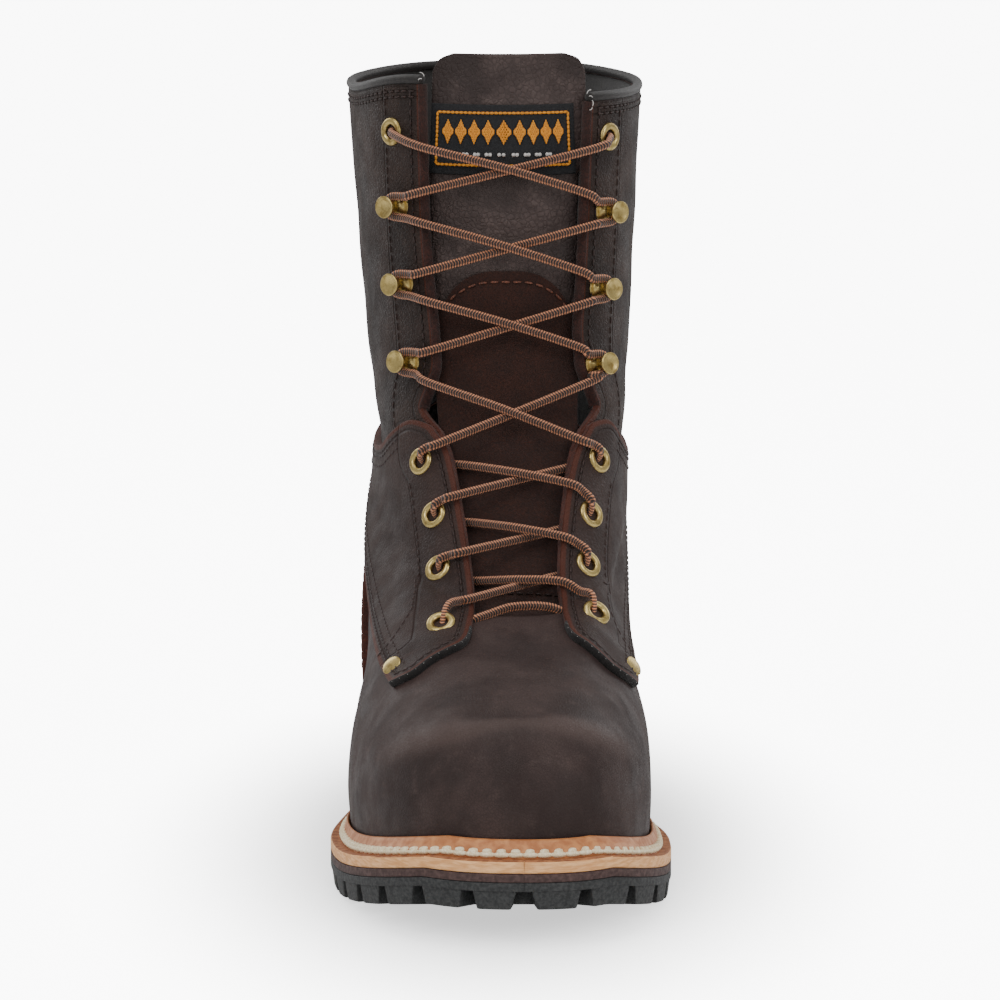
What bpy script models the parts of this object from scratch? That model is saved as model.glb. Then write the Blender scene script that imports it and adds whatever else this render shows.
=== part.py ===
"""A right-foot logger boot with its lug sole, lacing hardware, tongue and laces.

Every size is in metres, the toe points along -Y, +X is the inner (big toe) side and +Z is up.
The upper is lofted through tilted rings: each ring runs round the foot or the leg, and a table
row gives it as shares of the named sizes. The sole grows out of the lowest ring.
"""

import math

import bmesh
import bpy
from mathutils import Matrix, Vector

# Driving sizes of the last and the shaft
LAST_LENGTH = 0.302
BALL_WIDTH = 0.103
INSTEP_HEIGHT = 0.0755
SHAFT_HEIGHT = 0.203
SHAFT_WIDTH = 0.105
SHAFT_DEPTH = 0.134

# Thickness of each layer of the sole
LUG_DEPTH = 0.0062
OUTSOLE_BASE = 0.0030
BROWN_MIDSOLE = 0.0028
TAN_MIDSOLE = 0.0042
HEEL_LIFT = 0.0478
HEEL_LENGTH = 0.078
HEEL_TAPER = 0.0025
TOE_SPRING = 0.013

# How far the sole stands out from the upper
REACH_TOE = 0.0095
REACH_SIDE = 0.0068
REACH_HEEL = 0.0030

# Lugs: length round the edge from one gap to the next, and the gaps between them
LUG_PITCH_OUTER = 0.0186
LUG_PITCH_INNER = 0.0206
LUG_GAP_TOP = 0.0033
LUG_GAP_BOTTOM = 0.0060
TOE_GAP_SHARE = 1.43
LUG_REACH_IN = 0.0170
HEEL_LUG_DEPTH = 0.0080
HEEL_LUG_REACH = 0.0110
HEEL_GAP_SHARE = 0.85
LUG_ROWS = 11
CENTRE_GROOVES = 6
CENTRE_FIRST = 0.49
CENTRE_LAST = 0.94
CENTRE_WIDTH = 0.046
CENTRE_GAP_SHARE = 1.3

# Welt strip: how far it stays inside the sole's edge, and its heights at the upper and at its edge
WELT_INSET = 0.0036
WELT_HEIGHT = 0.0032
WELT_EDGE = 0.0010

# Walls and clearances
UPPER_WALL = 0.0022
OVERLAY_WALL = 0.0018
TONGUE_WALL = 0.0026
PATCH_WALL = 0.0008
INSOLE_WALL = 0.0035
GAP = 0.0003
FIT = 0.0007
LACE_ROOM = 0.0042

# Laces and metal
LACE = 0.0026
BINDING = 0.0034
EYELET_FLANGE = 0.0100
EYELET_BORE = 0.0048
EYELET_METAL = 0.0005
HOOK_BASE = 0.0094
HOOK_WAIST = 0.0040
HOOK_HEAD = 0.0079
HOOK_HEIGHT = 0.0085
RIVET = 0.0072

# Places along the last, as shares of its length from the heel
SEAT_END = 0.235
BALL_START = 0.575
SPRING_START = 0.715
LUGS_START = 0.400
WELT_START = 0.262

BALL_STACK = LUG_DEPTH + OUTSOLE_BASE + BROWN_MIDSOLE + TAN_MIDSOLE
HEEL_SEAT = HEEL_LIFT + OUTSOLE_BASE + BROWN_MIDSOLE + TAN_MIDSOLE

# Rings of the foot. Front and back are shares of LAST_LENGTH, front_up and back_up of INSTEP_HEIGHT
# above the sole, widths of BALL_WIDTH, and the two shifts move the ring's ends towards the inner side.
FOOT_RINGS = (
    # level, front, front_up, back, back_up,
    #   outer heel, outer waist, outer ball, inner heel, inner waist, inner ball,
    #   front shift, back shift, front round, back round, bluntness
    (0.00, 1.000, 0.00, 0.010, 0.00, 0.335, 0.400, 0.512, 0.335, 0.340, 0.470, 0.075, -0.035, 0.36, 0.16, 2.45),
    (0.08, 0.997, 0.20, 0.004, 0.19, 0.365, 0.430, 0.524, 0.360, 0.385, 0.478, 0.075, -0.035, 0.36, 0.16, 2.45),
    (0.16, 0.982, 0.42, 0.000, 0.40, 0.380, 0.440, 0.502, 0.372, 0.420, 0.466, 0.075, -0.035, 0.36, 0.18, 2.40),
    (0.24, 0.950, 0.59, 0.003, 0.60, 0.375, 0.435, 0.447, 0.368, 0.430, 0.426, 0.070, -0.035, 0.38, 0.20, 2.30),
    (0.32, 0.890, 0.72, 0.010, 0.77, 0.365, 0.430, 0.395, 0.360, 0.430, 0.378, 0.063, -0.035, 0.42, 0.24, 2.20),
    (0.40, 0.805, 0.85, 0.020, 0.93, 0.355, 0.425, 0.368, 0.352, 0.430, 0.362, 0.058, -0.035, 0.46, 0.28, 2.15),
    (0.46, 0.730, 0.935, 0.030, 1.06, 0.350, 0.420, 0.368, 0.348, 0.428, 0.378, 0.055, -0.030, 0.48, 0.32, 2.10),
    (0.52, 0.670, 1.00, 0.038, 1.19, 0.345, 0.415, 0.385, 0.345, 0.425, 0.405, 0.055, -0.025, 0.50, 0.36, 2.10),
)

# Rings of the leg. Front and back are shares of SHAFT_DEPTH from the back of the last, the ups of
# SHAFT_HEIGHT above the heel seat, and widths of SHAFT_WIDTH.
LEG_RINGS = (
    (0.60, 1.345, 0.275, 0.095, 0.500, 0.350, 0.405, 0.395, 0.350, 0.418, 0.412, 0.045, -0.020, 0.50, 0.40, 2.10),
    (0.68, 1.205, 0.400, 0.095, 0.565, 0.375, 0.436, 0.424, 0.380, 0.435, 0.430, 0.035, -0.015, 0.50, 0.42, 2.15),
    (0.76, 1.105, 0.530, 0.080, 0.650, 0.410, 0.460, 0.448, 0.400, 0.450, 0.440, 0.030, -0.015, 0.50, 0.44, 2.20),
    (0.86, 1.055, 0.700, 0.055, 0.775, 0.450, 0.485, 0.470, 0.430, 0.466, 0.456, 0.027, -0.013, 0.50, 0.46, 2.25),
    (1.00, 1.015, 0.980, 0.020, 1.010, 0.480, 0.516, 0.496, 0.458, 0.492, 0.478, 0.023, -0.017, 0.50, 0.50, 2.30),
    (1.10, 1.005, 1.120, 0.010, 1.150, 0.495, 0.528, 0.508, 0.475, 0.508, 0.492, 0.023, -0.017, 0.50, 0.50, 2.30),
)


# Edges of the throat in the upper: level, then degrees from the front on the outer and inner side.
THROAT = (
    (0.00, 24.0, 24.0),
    (0.36, 24.0, 28.0),
    (0.42, 24.0, 29.0),
    (0.48, 21.2, 23.2),
    (0.54, 20.0, 20.0),
    (0.60, 22.3, 21.5),
    (0.67, 25.0, 26.2),
    (0.695, 28.5, 31.0),
    (0.710, 39.0, 43.0),
    (0.73, 34.5, 38.0),
    (0.76, 28.8, 31.0),
    (0.80, 28.8, 28.8),
    (0.885, 30.7, 30.2),
    (1.00, 29.2, 30.9),
    (1.10, 29.0, 31.0),
)

# Front edges of the two quarters, which lie over the upper from the tab to the ankle.
QUARTER_FRONT = (
    (0.24, 48.9, 58.0),
    (0.35, 37.1, 41.9),
    (0.42, 23.2, 29.0),
    (0.49, 19.9, 22.2),
    (0.54, 19.1, 19.0),
    (0.60, 21.3, 20.5),
    (0.677, 23.8, 25.5),
    (0.70, 27.6, 29.8),
)

# Each quarter: degrees from the front, lowest level outer, lowest level inner, highest level.
QUARTER_SPAN = (
    (18.0, 0.425, 0.425, 0.690),
    (28.0, 0.300, 0.300, 0.695),
    (40.0, 0.252, 0.240, 0.695),
    (49.0, 0.252, 0.236, 0.684),
    (59.0, 0.270, 0.230, 0.662),
    (75.0, 0.292, 0.258, 0.622),
    (98.0, 0.330, 0.310, 0.578),
    (115.0, 0.405, 0.400, 0.560),
    (138.0, 0.462, 0.462, 0.552),
    (180.0, 0.488, 0.488, 0.548),
)
QUARTER_BACK = 179.3

# The counter: degrees away from the back, lowest level, highest level.
COUNTER_SPAN = (
    (0.0, 0.035, 0.472),
    (25.0, 0.035, 0.464),
    (42.0, 0.035, 0.440),
    (65.0, 0.035, 0.375),
    (76.0, 0.035, 0.270),
    (84.0, 0.035, 0.130),
)
COUNTER_FRONT = 96.0

# Sides of the tongue: level, degrees on the outer side, degrees on the inner side.
TONGUE_SIDES = (
    (0.44, 15.0, 15.0),
    (0.47, 25.0, 25.0),
    (0.54, 30.0, 30.0),
    (0.70, 36.0, 37.0),
    (0.90, 34.0, 34.0),
    (1.00, 30.5, 31.0),
    (1.04, 29.0, 29.5),
    (1.058, 25.0, 25.5),
    (1.066, 17.0, 17.0),
)
TONGUE_BULGE = 0.55

# The patch on the tongue: its levels, and how far across the tongue it reaches on each side.
PATCH_LOW = 0.940
PATCH_HIGH = 0.992
PATCH_OUTER = -0.90
PATCH_INNER = 0.78

# Lacing, lowest first: level and degrees from the front, on the outer and then the inner side.
LOWER_EYELETS = (
    (0.426, 35.3, 0.425, 44.0),
    (0.540, 34.8, 0.547, 33.5),
    (0.600, 34.8, 0.600, 35.4),
    (0.654, 38.4, 0.655, 39.4),
)
HOOKS = (
    (0.757, 41.9, 0.757, 38.5),
    (0.840, 42.0, 0.837, 38.8),
    (0.910, 42.3, 0.906, 40.8),
)
TOP_EYELET = (0.973, 44.3, 0.969, 42.4)
TAB_RIVET = (0.290, 52.0, 0.264, 60.0)

# Where a strand crosses the facing edges, as shares of the way to its far end, and how near it
# comes to its eyelet or hook, as a share of the way from the facing edge.
LOWER_CROSSING = (0.55, 0.95, 0.45, 0.42)
FOURTH_CROSSING = (0.30, 0.88, 0.45, 0.60)
HOOK_CROSSING = (0.27, 0.85, 0.60, 0.60)
LAST_CROSSING = (0.27, 0.85, 0.60, 0.42)
LACE_STACK = 0.0016

# Levels of the upper's rows. The throat opens above the row at THROAT_FLOOR.
LEVELS = (
    0.00, 0.05, 0.10, 0.15, 0.20, 0.25, 0.30, 0.36, 0.42, 0.48, 0.51, 0.54, 0.57,
    0.60, 0.64, 0.67, 0.695, 0.71, 0.73, 0.76, 0.81, 0.885, 0.95, 1.00,
)
THROAT_FLOOR = 9
THROAT_ARCH = 0.042
COLLAR_PEAK = 0.024
FRONT_COLUMNS = 6
SIDE_COLUMNS = 30
COLUMN_CROWDING = 0.02


def ease(share):
    """A smooth step from 0 to 1."""
    share = min(1.0, max(0.0, share))
    return share * share * (3 - 2 * share)


def look_up(table, value):
    """The row of a table at a value of its first column, between the rows either side."""
    row = 0
    while row < len(table) - 2 and value > table[row + 1][0]:
        row += 1
    low, high = table[row], table[row + 1]
    share = min(1.0, max(0.0, (value - low[0]) / (high[0] - low[0])))
    return [a + (b - a) * share for a, b in zip(low[1:], high[1:])]


def sole_top(along):
    """Height of the sole's top face at a distance from the back of the last."""
    share = along / LAST_LENGTH
    heel = (HEEL_SEAT - BALL_STACK) * (1 - ease((share - SEAT_END) / (BALL_START - SEAT_END)))
    spring = TOE_SPRING * max(0.0, (share - SPRING_START) / (1 - SPRING_START)) ** 1.7
    return BALL_STACK + heel + spring


def ring_rows():
    """Both tables in metres: level, front, its height, back, its height, widths and shifts, then shapes."""
    rows = []
    for row in FOOT_RINGS:
        front = row[1] * LAST_LENGTH
        front_z = sole_top(front) + GAP + row[2] * INSTEP_HEIGHT
        back_z = HEEL_SEAT + GAP + row[4] * INSTEP_HEIGHT
        widths = [share * BALL_WIDTH for share in row[5:13]]
        rows.append([row[0], front, front_z, row[3] * LAST_LENGTH, back_z, *widths, *row[13:]])
    for row in LEG_RINGS:
        front_z = HEEL_SEAT + GAP + row[2] * SHAFT_HEIGHT
        back_z = HEEL_SEAT + GAP + row[4] * SHAFT_HEIGHT
        widths = [share * SHAFT_WIDTH for share in row[5:13]]
        ends = [row[1] * SHAFT_DEPTH, front_z, row[3] * SHAFT_DEPTH, back_z]
        rows.append([row[0], *ends, *widths, *row[13:]])
    return rows


RINGS = ring_rows()


def ring_at(level):
    """The ring at any level, by a smooth curve through the rows either side of it."""
    last = len(RINGS) - 2
    k = 0
    while k < last and level > RINGS[k + 1][0]:
        k += 1
    low, high = RINGS[k], RINGS[k + 1]
    before = RINGS[max(0, k - 1)]
    after = RINGS[min(last + 1, k + 2)]
    span = high[0] - low[0]
    u = (level - low[0]) / span
    values = []
    for i in range(1, len(low)):
        slope_low = (high[i] - before[i]) / (high[0] - before[0]) * span
        slope_high = (after[i] - low[i]) / (after[0] - low[0]) * span
        values.append(
            low[i] * (1 + 2 * u) * (1 - u) ** 2
            + slope_low * u * (1 - u) ** 2
            + high[i] * u * u * (3 - 2 * u)
            + slope_high * u * u * (u - 1)
        )
    return values


def last_point(level, angle, grow=0.0):
    """A point of the upper's outside. Angle 0 is the front, a quarter turn the outer side (-X)."""
    (front, front_z, back, back_z, heel_o, waist_o, ball_o, heel_i, waist_i, ball_i,
     shift_f, shift_b, round_f, round_b, blunt) = ring_at(level)
    share = (1 + math.cos(angle)) / 2
    outer = math.sin(angle) >= 0
    heel, waist, ball = (heel_o, waist_o, ball_o) if outer else (heel_i, waist_i, ball_i)
    if share < 0.45:
        width = heel + (waist - heel) * ease((share - 0.10) / 0.35)
    else:
        width = waist + (ball - waist) * ease((share - 0.45) / 0.27)
    into_front = max(0.0, (share - 1 + round_f) / round_f)
    into_back = max(0.0, (round_b - share) / round_b)
    cap = max(0.0, 1 - max(into_front, into_back) ** blunt) ** (1 / blunt)
    shift = shift_b + (shift_f - shift_b) * share ** 2
    reach = grow(share) if callable(grow) else grow
    x = shift + (width + reach) * cap * (-1 if outer else 1)
    end = ease((share - 0.68) / 0.32) - ease((0.22 - share) / 0.22)
    along = back + (front - back) * share + reach * end
    chord = back_z + (front_z - back_z) * share
    low = RINGS[0]
    low_chord = low[4] + (low[2] - low[4]) * share
    sag = sole_top(min(LAST_LENGTH, max(0.0, along))) + GAP - low_chord
    z = chord + sag * max(0.0, 1 - level / 0.52) ** 1.2
    return Vector((x, -along, z))


def skin(level, angle, lift=0.0):
    """A point off the upper's outside, measured square to it, and the outward direction there."""
    step = 0.004
    round_it = last_point(level, angle + step) - last_point(level, angle - step)
    up_it = last_point(level + step, angle) - last_point(level - step, angle)
    outward = up_it.cross(round_it).normalized()
    return last_point(level, angle) + outward * lift, outward


def collar_lift(level, angle):
    """How much higher the shaft's outer front corner stands than the rest of the collar."""
    degrees = abs(math.degrees(math.remainder(angle, 2 * math.pi)))
    near_front = ease((85 - degrees) / 55)
    side = 1.0 if math.sin(angle) >= 0 else 0.2
    return COLLAR_PEAK * side * near_front * ease((level - 0.85) / 0.15)


def tongue_point(level, across, depth=0.0):
    """A point of the tongue, from -1 at its outer side to 1 at its inner side, and its direction."""
    outer, inner = (math.radians(side) for side in look_up(TONGUE_SIDES, level))
    deep = -(UPPER_WALL + LACE_ROOM)
    share = (1 + across) / 2
    angle = outer - (outer + inner) * share
    start = skin(level, outer, deep)[0]
    end = skin(level, -inner, deep)[0]
    bulging, outward = skin(level, angle, deep)
    chord = start + (end - start) * share
    return chord + (bulging - chord) * TONGUE_BULGE - outward * depth, outward


def sole_reach(share):
    """How far the sole stands out from the upper, from the heel (0) to the toe (1)."""
    if share < 0.5:
        return REACH_HEEL + (REACH_SIDE - REACH_HEEL) * ease(share / 0.35)
    return REACH_SIDE + (REACH_TOE - REACH_SIDE) * ease((share - 0.6) / 0.4)


def sole_edge(angle, inset=0.0):
    """A point of the sole's edge at the height of its top face."""
    return last_point(0.0, angle, lambda share: sole_reach(share) - inset)


# End of the surface functions


def clear_scene():
    """Start from an empty scene."""
    for found in list(bpy.data.objects):
        bpy.data.objects.remove(found, do_unlink=True)


def material(name, colour, roughness, metallic=0.0):
    """A plain material of one colour."""
    made = bpy.data.materials.new(name)
    made.use_nodes = True
    shader = made.node_tree.nodes["Principled BSDF"]
    shader.inputs["Base Color"].default_value = (*colour, 1.0)
    shader.inputs["Roughness"].default_value = roughness
    shader.inputs["Metallic"].default_value = metallic
    return made


def new_object(name, bm, paint, collection):
    """Turn a working mesh into an object with its faces outward."""
    bmesh.ops.remove_doubles(bm, verts=bm.verts, dist=0.00002)
    bmesh.ops.dissolve_degenerate(bm, dist=0.00002, edges=bm.edges)
    bmesh.ops.recalc_face_normals(bm, faces=bm.faces)
    mesh = bpy.data.meshes.new(name)
    bm.to_mesh(mesh)
    bm.free()
    made = bpy.data.objects.new(name, mesh)
    mesh.materials.append(paint)
    collection.objects.link(made)
    return made


def warped_grid(columns, rows, place, keep=None):
    """A grid whose corner at (column, row) goes to place(column, row)."""
    bm = bmesh.new()
    bmesh.ops.create_grid(bm, x_segments=columns, y_segments=rows, size=0.5)
    if keep is not None:
        lost = []
        for face in bm.faces:
            centre = face.calc_center_median()
            if not keep((centre.x + 0.5) * columns, (centre.y + 0.5) * rows):
                lost.append(face)
        bmesh.ops.delete(bm, geom=lost, context="FACES")
    for vert in bm.verts:
        vert.co = place(round((vert.co.x + 0.5) * columns), round((vert.co.y + 0.5) * rows))
    return bm


def overlay(name, columns, rows, place, paint, collection):
    """A leather piece laid over the upper. place gives a corner's level and its degrees from the front."""
    bm = bmesh.new()
    bmesh.ops.create_grid(bm, x_segments=columns, y_segments=rows, size=0.5)
    push = bm.verts.layers.float_vector.new("push")
    for vert in bm.verts:
        level, degrees = place(
            round((vert.co.x + 0.5) * columns), round((vert.co.y + 0.5) * rows)
        )
        vert.co, vert[push] = skin(level, math.radians(degrees), FIT)
    bmesh.ops.remove_doubles(bm, verts=bm.verts, dist=0.0002)
    made = bmesh.ops.extrude_face_region(bm, geom=bm.faces)
    for item in made["geom"]:
        if isinstance(item, bmesh.types.BMVert):
            item.co += item[push] * OVERLAY_WALL
    return new_object(name, bm, paint, collection)


def add_wall(made, thickness, outward):
    """Give an open surface its thickness, to its outer or inner side."""
    solid = made.modifiers.new("wall", "SOLIDIFY")
    solid.thickness = thickness
    solid.offset = 1.0 if outward else -1.0
    solid.use_even_offset = True
    solid.use_quality_normals = True


def cut(made, cutter):
    """Take a cutter out of an object."""
    hole = made.modifiers.new("cut", "BOOLEAN")
    hole.operation = "DIFFERENCE"
    hole.solver = "EXACT"
    hole.object = cutter


def face_outward(bm, centre):
    """Turn an open surface's faces away from a point inside it."""
    bmesh.ops.recalc_face_normals(bm, faces=bm.faces)
    outward = sum(face.normal.dot(face.calc_center_median() - centre) for face in bm.faces)
    if outward < 0:
        bmesh.ops.reverse_faces(bm, faces=bm.faces)


def shell(name, bm, wall, outward, centre, paint, collection):
    """An object with one wall thickness, from an open surface that goes round a centre."""
    bmesh.ops.remove_doubles(bm, verts=bm.verts, dist=0.00002)
    face_outward(bm, centre)
    mesh = bpy.data.meshes.new(name)
    bm.to_mesh(mesh)
    bm.free()
    mesh.materials.append(paint)
    made = bpy.data.objects.new(name, mesh)
    collection.objects.link(made)
    add_wall(made, wall, outward)
    return made


def side_angle(level, column):
    """The angle of one of the upper's side columns, from the outer edge round to the inner one."""
    outer, inner = (math.radians(side) for side in look_up(THROAT, level))
    share = column / SIDE_COLUMNS
    share += COLUMN_CROWDING * math.sin(4 * math.pi * share)
    return outer + (2 * math.pi - inner - outer) * share


def stations():
    """Angles of the upper's lowest corners from the toe to the heel, which the sole shares."""
    edge = math.radians(THROAT[0][1])
    half = FRONT_COLUMNS // 2
    front = [edge * column / half for column in range(half)]
    return front + [side_angle(0.0, column) for column in range(SIDE_COLUMNS // 2 + 1)]


def upper_place(column, row):
    """Where a corner of the upper's grid goes: front columns first, then round the back."""
    level = LEVELS[row]
    outer, inner = (math.radians(side) for side in look_up(THROAT, level))
    if column <= FRONT_COLUMNS:
        share = column / FRONT_COLUMNS
        angle = -inner + (outer + inner) * share
        near = max(0.0, 1 - (THROAT_FLOOR - row) / 4)
        level += THROAT_ARCH * near * math.sin(math.pi * share) ** 0.7
    else:
        angle = side_angle(level, column - FRONT_COLUMNS)
        level += collar_lift(level, angle)
    if column in (0, FRONT_COLUMNS):
        level = LEVELS[row] + collar_lift(LEVELS[row], angle)
    return last_point(level, angle)


def make_upper(paint, collection):
    """The hollow upper, open at the collar, the throat and underneath."""
    bm = warped_grid(
        FRONT_COLUMNS + SIDE_COLUMNS,
        len(LEVELS) - 1,
        upper_place,
        lambda column, row: column > FRONT_COLUMNS or row < THROAT_FLOOR,
    )
    ankle = last_point(0.5, math.pi / 2)
    centre = Vector((0, ankle.y, ankle.z))
    return shell("upper", bm, UPPER_WALL, False, centre, paint, collection)


def make_quarter(name, side, paint, collection):
    """One quarter, outer (1) or inner (-1), along the upper's own rows and columns."""
    index = 0 if side > 0 else 1
    first = max(row for row, level in enumerate(LEVELS) if level < QUARTER_SPAN[4][2])
    last = min(row for row, level in enumerate(LEVELS) if level > QUARTER_SPAN[1][3])

    def place(column, row):
        level = LEVELS[row + first]
        for _ in range(12):
            turn = side_angle(level, column if side > 0 else SIDE_COLUMNS - column)
            degrees = math.degrees(abs(math.remainder(turn, 2 * math.pi))) if column else 0.0
            degrees = min(QUARTER_BACK, max(look_up(QUARTER_FRONT, level)[index], degrees))
            span = look_up(QUARTER_SPAN, degrees)
            level = min(span[2], max(span[index], LEVELS[row + first]))
        return level, side * degrees
    return overlay(name, SIDE_COLUMNS // 2, last - first, place, paint, collection)


def make_counter(paint, collection):
    """The counter round the back of the heel, along the upper's own rows and columns."""
    middle = SIDE_COLUMNS // 2
    half = min(c for c in range(middle) if side_angle(0.0, middle + c) > math.radians(360 - COUNTER_FRONT))
    last = min(row for row, level in enumerate(LEVELS) if level > COUNTER_SPAN[0][2])
    most = 180 - COUNTER_FRONT

    def place(column, row):
        level = LEVELS[row]
        for _ in range(12):
            away = math.degrees(side_angle(level, middle - half + column)) - 180
            away = min(most, max(-most, away))
            low, high = look_up(COUNTER_SPAN, abs(away))
            level = min(high, max(low, LEVELS[row]))
        return level, 180 + away
    return overlay("heel_counter", 2 * half, last, place, paint, collection)


def make_tongue(paint, collection):
    """The tongue, behind the throat and above the collar."""
    low, high = TONGUE_SIDES[0][0], TONGUE_SIDES[-1][0]
    levels = [low, 0.47, 0.51, 0.56, 0.62, 0.68, 0.74, 0.81, 0.88, 0.95, 1.00, 1.04, 1.058, high]
    bm = warped_grid(
        8, len(levels) - 1, lambda column, row: tongue_point(levels[row], column / 4 - 1)[0]
    )
    centre = Vector((0, last_point(0.7, math.pi / 2).y, HEEL_SEAT + SHAFT_HEIGHT / 3))
    return shell("tongue", bm, TONGUE_WALL, False, centre, paint, collection)


def make_patch(paint, collection):
    """The patch on the front of the tongue."""
    def place(column, row):
        level = PATCH_LOW + (PATCH_HIGH - PATCH_LOW) * row / 2
        return tongue_point(level, PATCH_OUTER + (PATCH_INNER - PATCH_OUTER) * column / 4, -GAP * 2)[0]
    bm = warped_grid(4, 2, place)
    centre = Vector((0, last_point(0.9, math.pi / 2).y, HEEL_SEAT + SHAFT_HEIGHT))
    return shell("tongue_patch", bm, PATCH_WALL, True, centre, paint, collection)


def sheet_between(angles, edge, below):
    """A closed sheet across the pairs of edge points at each angle either side of the toe.

    below gives the lower corner that lies under an upper one.
    """
    bm = warped_grid(
        1, len(angles) - 1, lambda column, row: edge(angles[row] if column == 0 else -angles[row])
    )
    bmesh.ops.remove_doubles(bm, verts=bm.verts, dist=0.00002)
    made = bmesh.ops.extrude_face_region(bm, geom=bm.faces)
    for item in made["geom"]:
        if isinstance(item, bmesh.types.BMVert):
            item.co = below(item.co)
    return bm


def layer_edge(angle):
    """The sole's edge at any angle, on the straight line between two of the shared stations."""
    corners = stations()
    side = -1 if angle < 0 else 1
    k = 0
    while k < len(corners) - 2 and abs(angle) > corners[k + 1]:
        k += 1
    low, high = corners[k], corners[k + 1]
    return sole_edge(side * low).lerp(sole_edge(side * high), (abs(angle) - low) / (high - low))


def sole_layer(drop, below, angles=None):
    """One layer of the sole, its top a drop below the upper's lowest edge."""
    down = Vector((0, 0, GAP + drop))
    return sheet_between(angles or stations(), lambda angle: layer_edge(angle) - down, below)


def sunk(depth):
    """A function that lowers a corner by a depth."""
    return lambda corner: corner - Vector((0, 0, depth))


def angle_at(share):
    """The angle whose ring share is given, measured from the heel (0) to the toe (1)."""
    return math.acos(min(1.0, max(-1.0, 2 * share - 1)))


def make_insole(paint, collection):
    """The insole, inside the upper on the tan midsole."""
    inside = UPPER_WALL + FIT + GAP
    up = Vector((0, 0, INSOLE_WALL))
    bm = sheet_between(
        stations(), lambda angle: last_point(0.0, angle, -inside) + up, sunk(INSOLE_WALL)
    )
    return new_object("insole", bm, paint, collection)


def make_welt(paint, collection):
    """The strip that stands up round the forefoot between the upper and the midsole's edge."""
    side = [angle for angle in stations() if angle < angle_at(WELT_START)]
    angles = [*reversed(side), *(-angle for angle in side[1:])]
    outline = (
        (0.0, 0.0),
        (1.0, 0.0),
        (1.0, WELT_EDGE),
        (0.45, WELT_EDGE * 1.4),
        (0.10, WELT_HEIGHT),
        (0.0, WELT_HEIGHT),
    )

    def place(column, row):
        share, height = outline[column % len(outline)]
        inner = last_point(height / INSTEP_HEIGHT * 0.5, angles[row], GAP + FIT)
        outer = sole_edge(angles[row], WELT_INSET)
        spot = inner + (outer - inner) * share
        return Vector((spot.x, spot.y, outer.z + height))
    bm = warped_grid(len(outline), len(angles) - 1, place)
    bmesh.ops.remove_doubles(bm, verts=bm.verts, dist=0.00002)
    bmesh.ops.holes_fill(bm, edges=bm.edges, sides=len(outline))
    return new_object("welt", bm, paint, collection)


def edge_walk(pitch, count, side):
    """Points along the sole's edge, a pitch apart, counted from the toe down one side."""
    places = []
    walked = 0.0
    angle = 0.0
    here = sole_edge(side * 0.0001)
    while len(places) < count and angle < math.pi:
        angle += 0.002
        there = sole_edge(side * angle)
        walked += math.hypot(there.x - here.x, there.y - here.y)
        if walked >= pitch * (len(places) + 1):
            along = Vector((there.x - here.x, there.y - here.y, 0)).normalized()
            places.append((there, along))
        here = there
    return places


def wedge(bm, place, along, depth, roof, gap_top, gap_bottom, length):
    """Add one tapering cutter, square to the edge, that reaches its foot width at the depth.

    roof gives the height of the cutter's top at a distance from the back of the last.
    """
    made = bmesh.ops.create_cube(bm, size=1.0)
    across = Vector((-along.y, along.x, 0))
    for vert in made["verts"]:
        foot = vert.co.z < 0
        wide = gap_bottom * 2 - gap_top if foot else gap_top
        corner = place + along * vert.co.x * wide + across * vert.co.y * length * 2
        top = roof(min(LAST_LENGTH, -corner.y))
        vert.co = Vector((corner.x, corner.y, top - depth * 2 if foot else top))


def add_cutter(name, bm, collection):
    """A hidden object that others are cut with."""
    bmesh.ops.recalc_face_normals(bm, faces=bm.faces)
    mesh = bpy.data.meshes.new(name)
    bm.to_mesh(mesh)
    bm.free()
    made = bpy.data.objects.new(name, mesh)
    collection.objects.link(made)
    made.hide_render = True
    made.display_type = "WIRE"
    return made


def lug_cutter(name, places, roof, depth, collection):
    """All the cutters of one part of the sole in one object."""
    bm = bmesh.new()
    for place, along, scale, length in places:
        wedge(bm, place, along, depth, roof, LUG_GAP_TOP * scale, LUG_GAP_BOTTOM * scale, length)
    return add_cutter(name, bm, collection)


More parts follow.
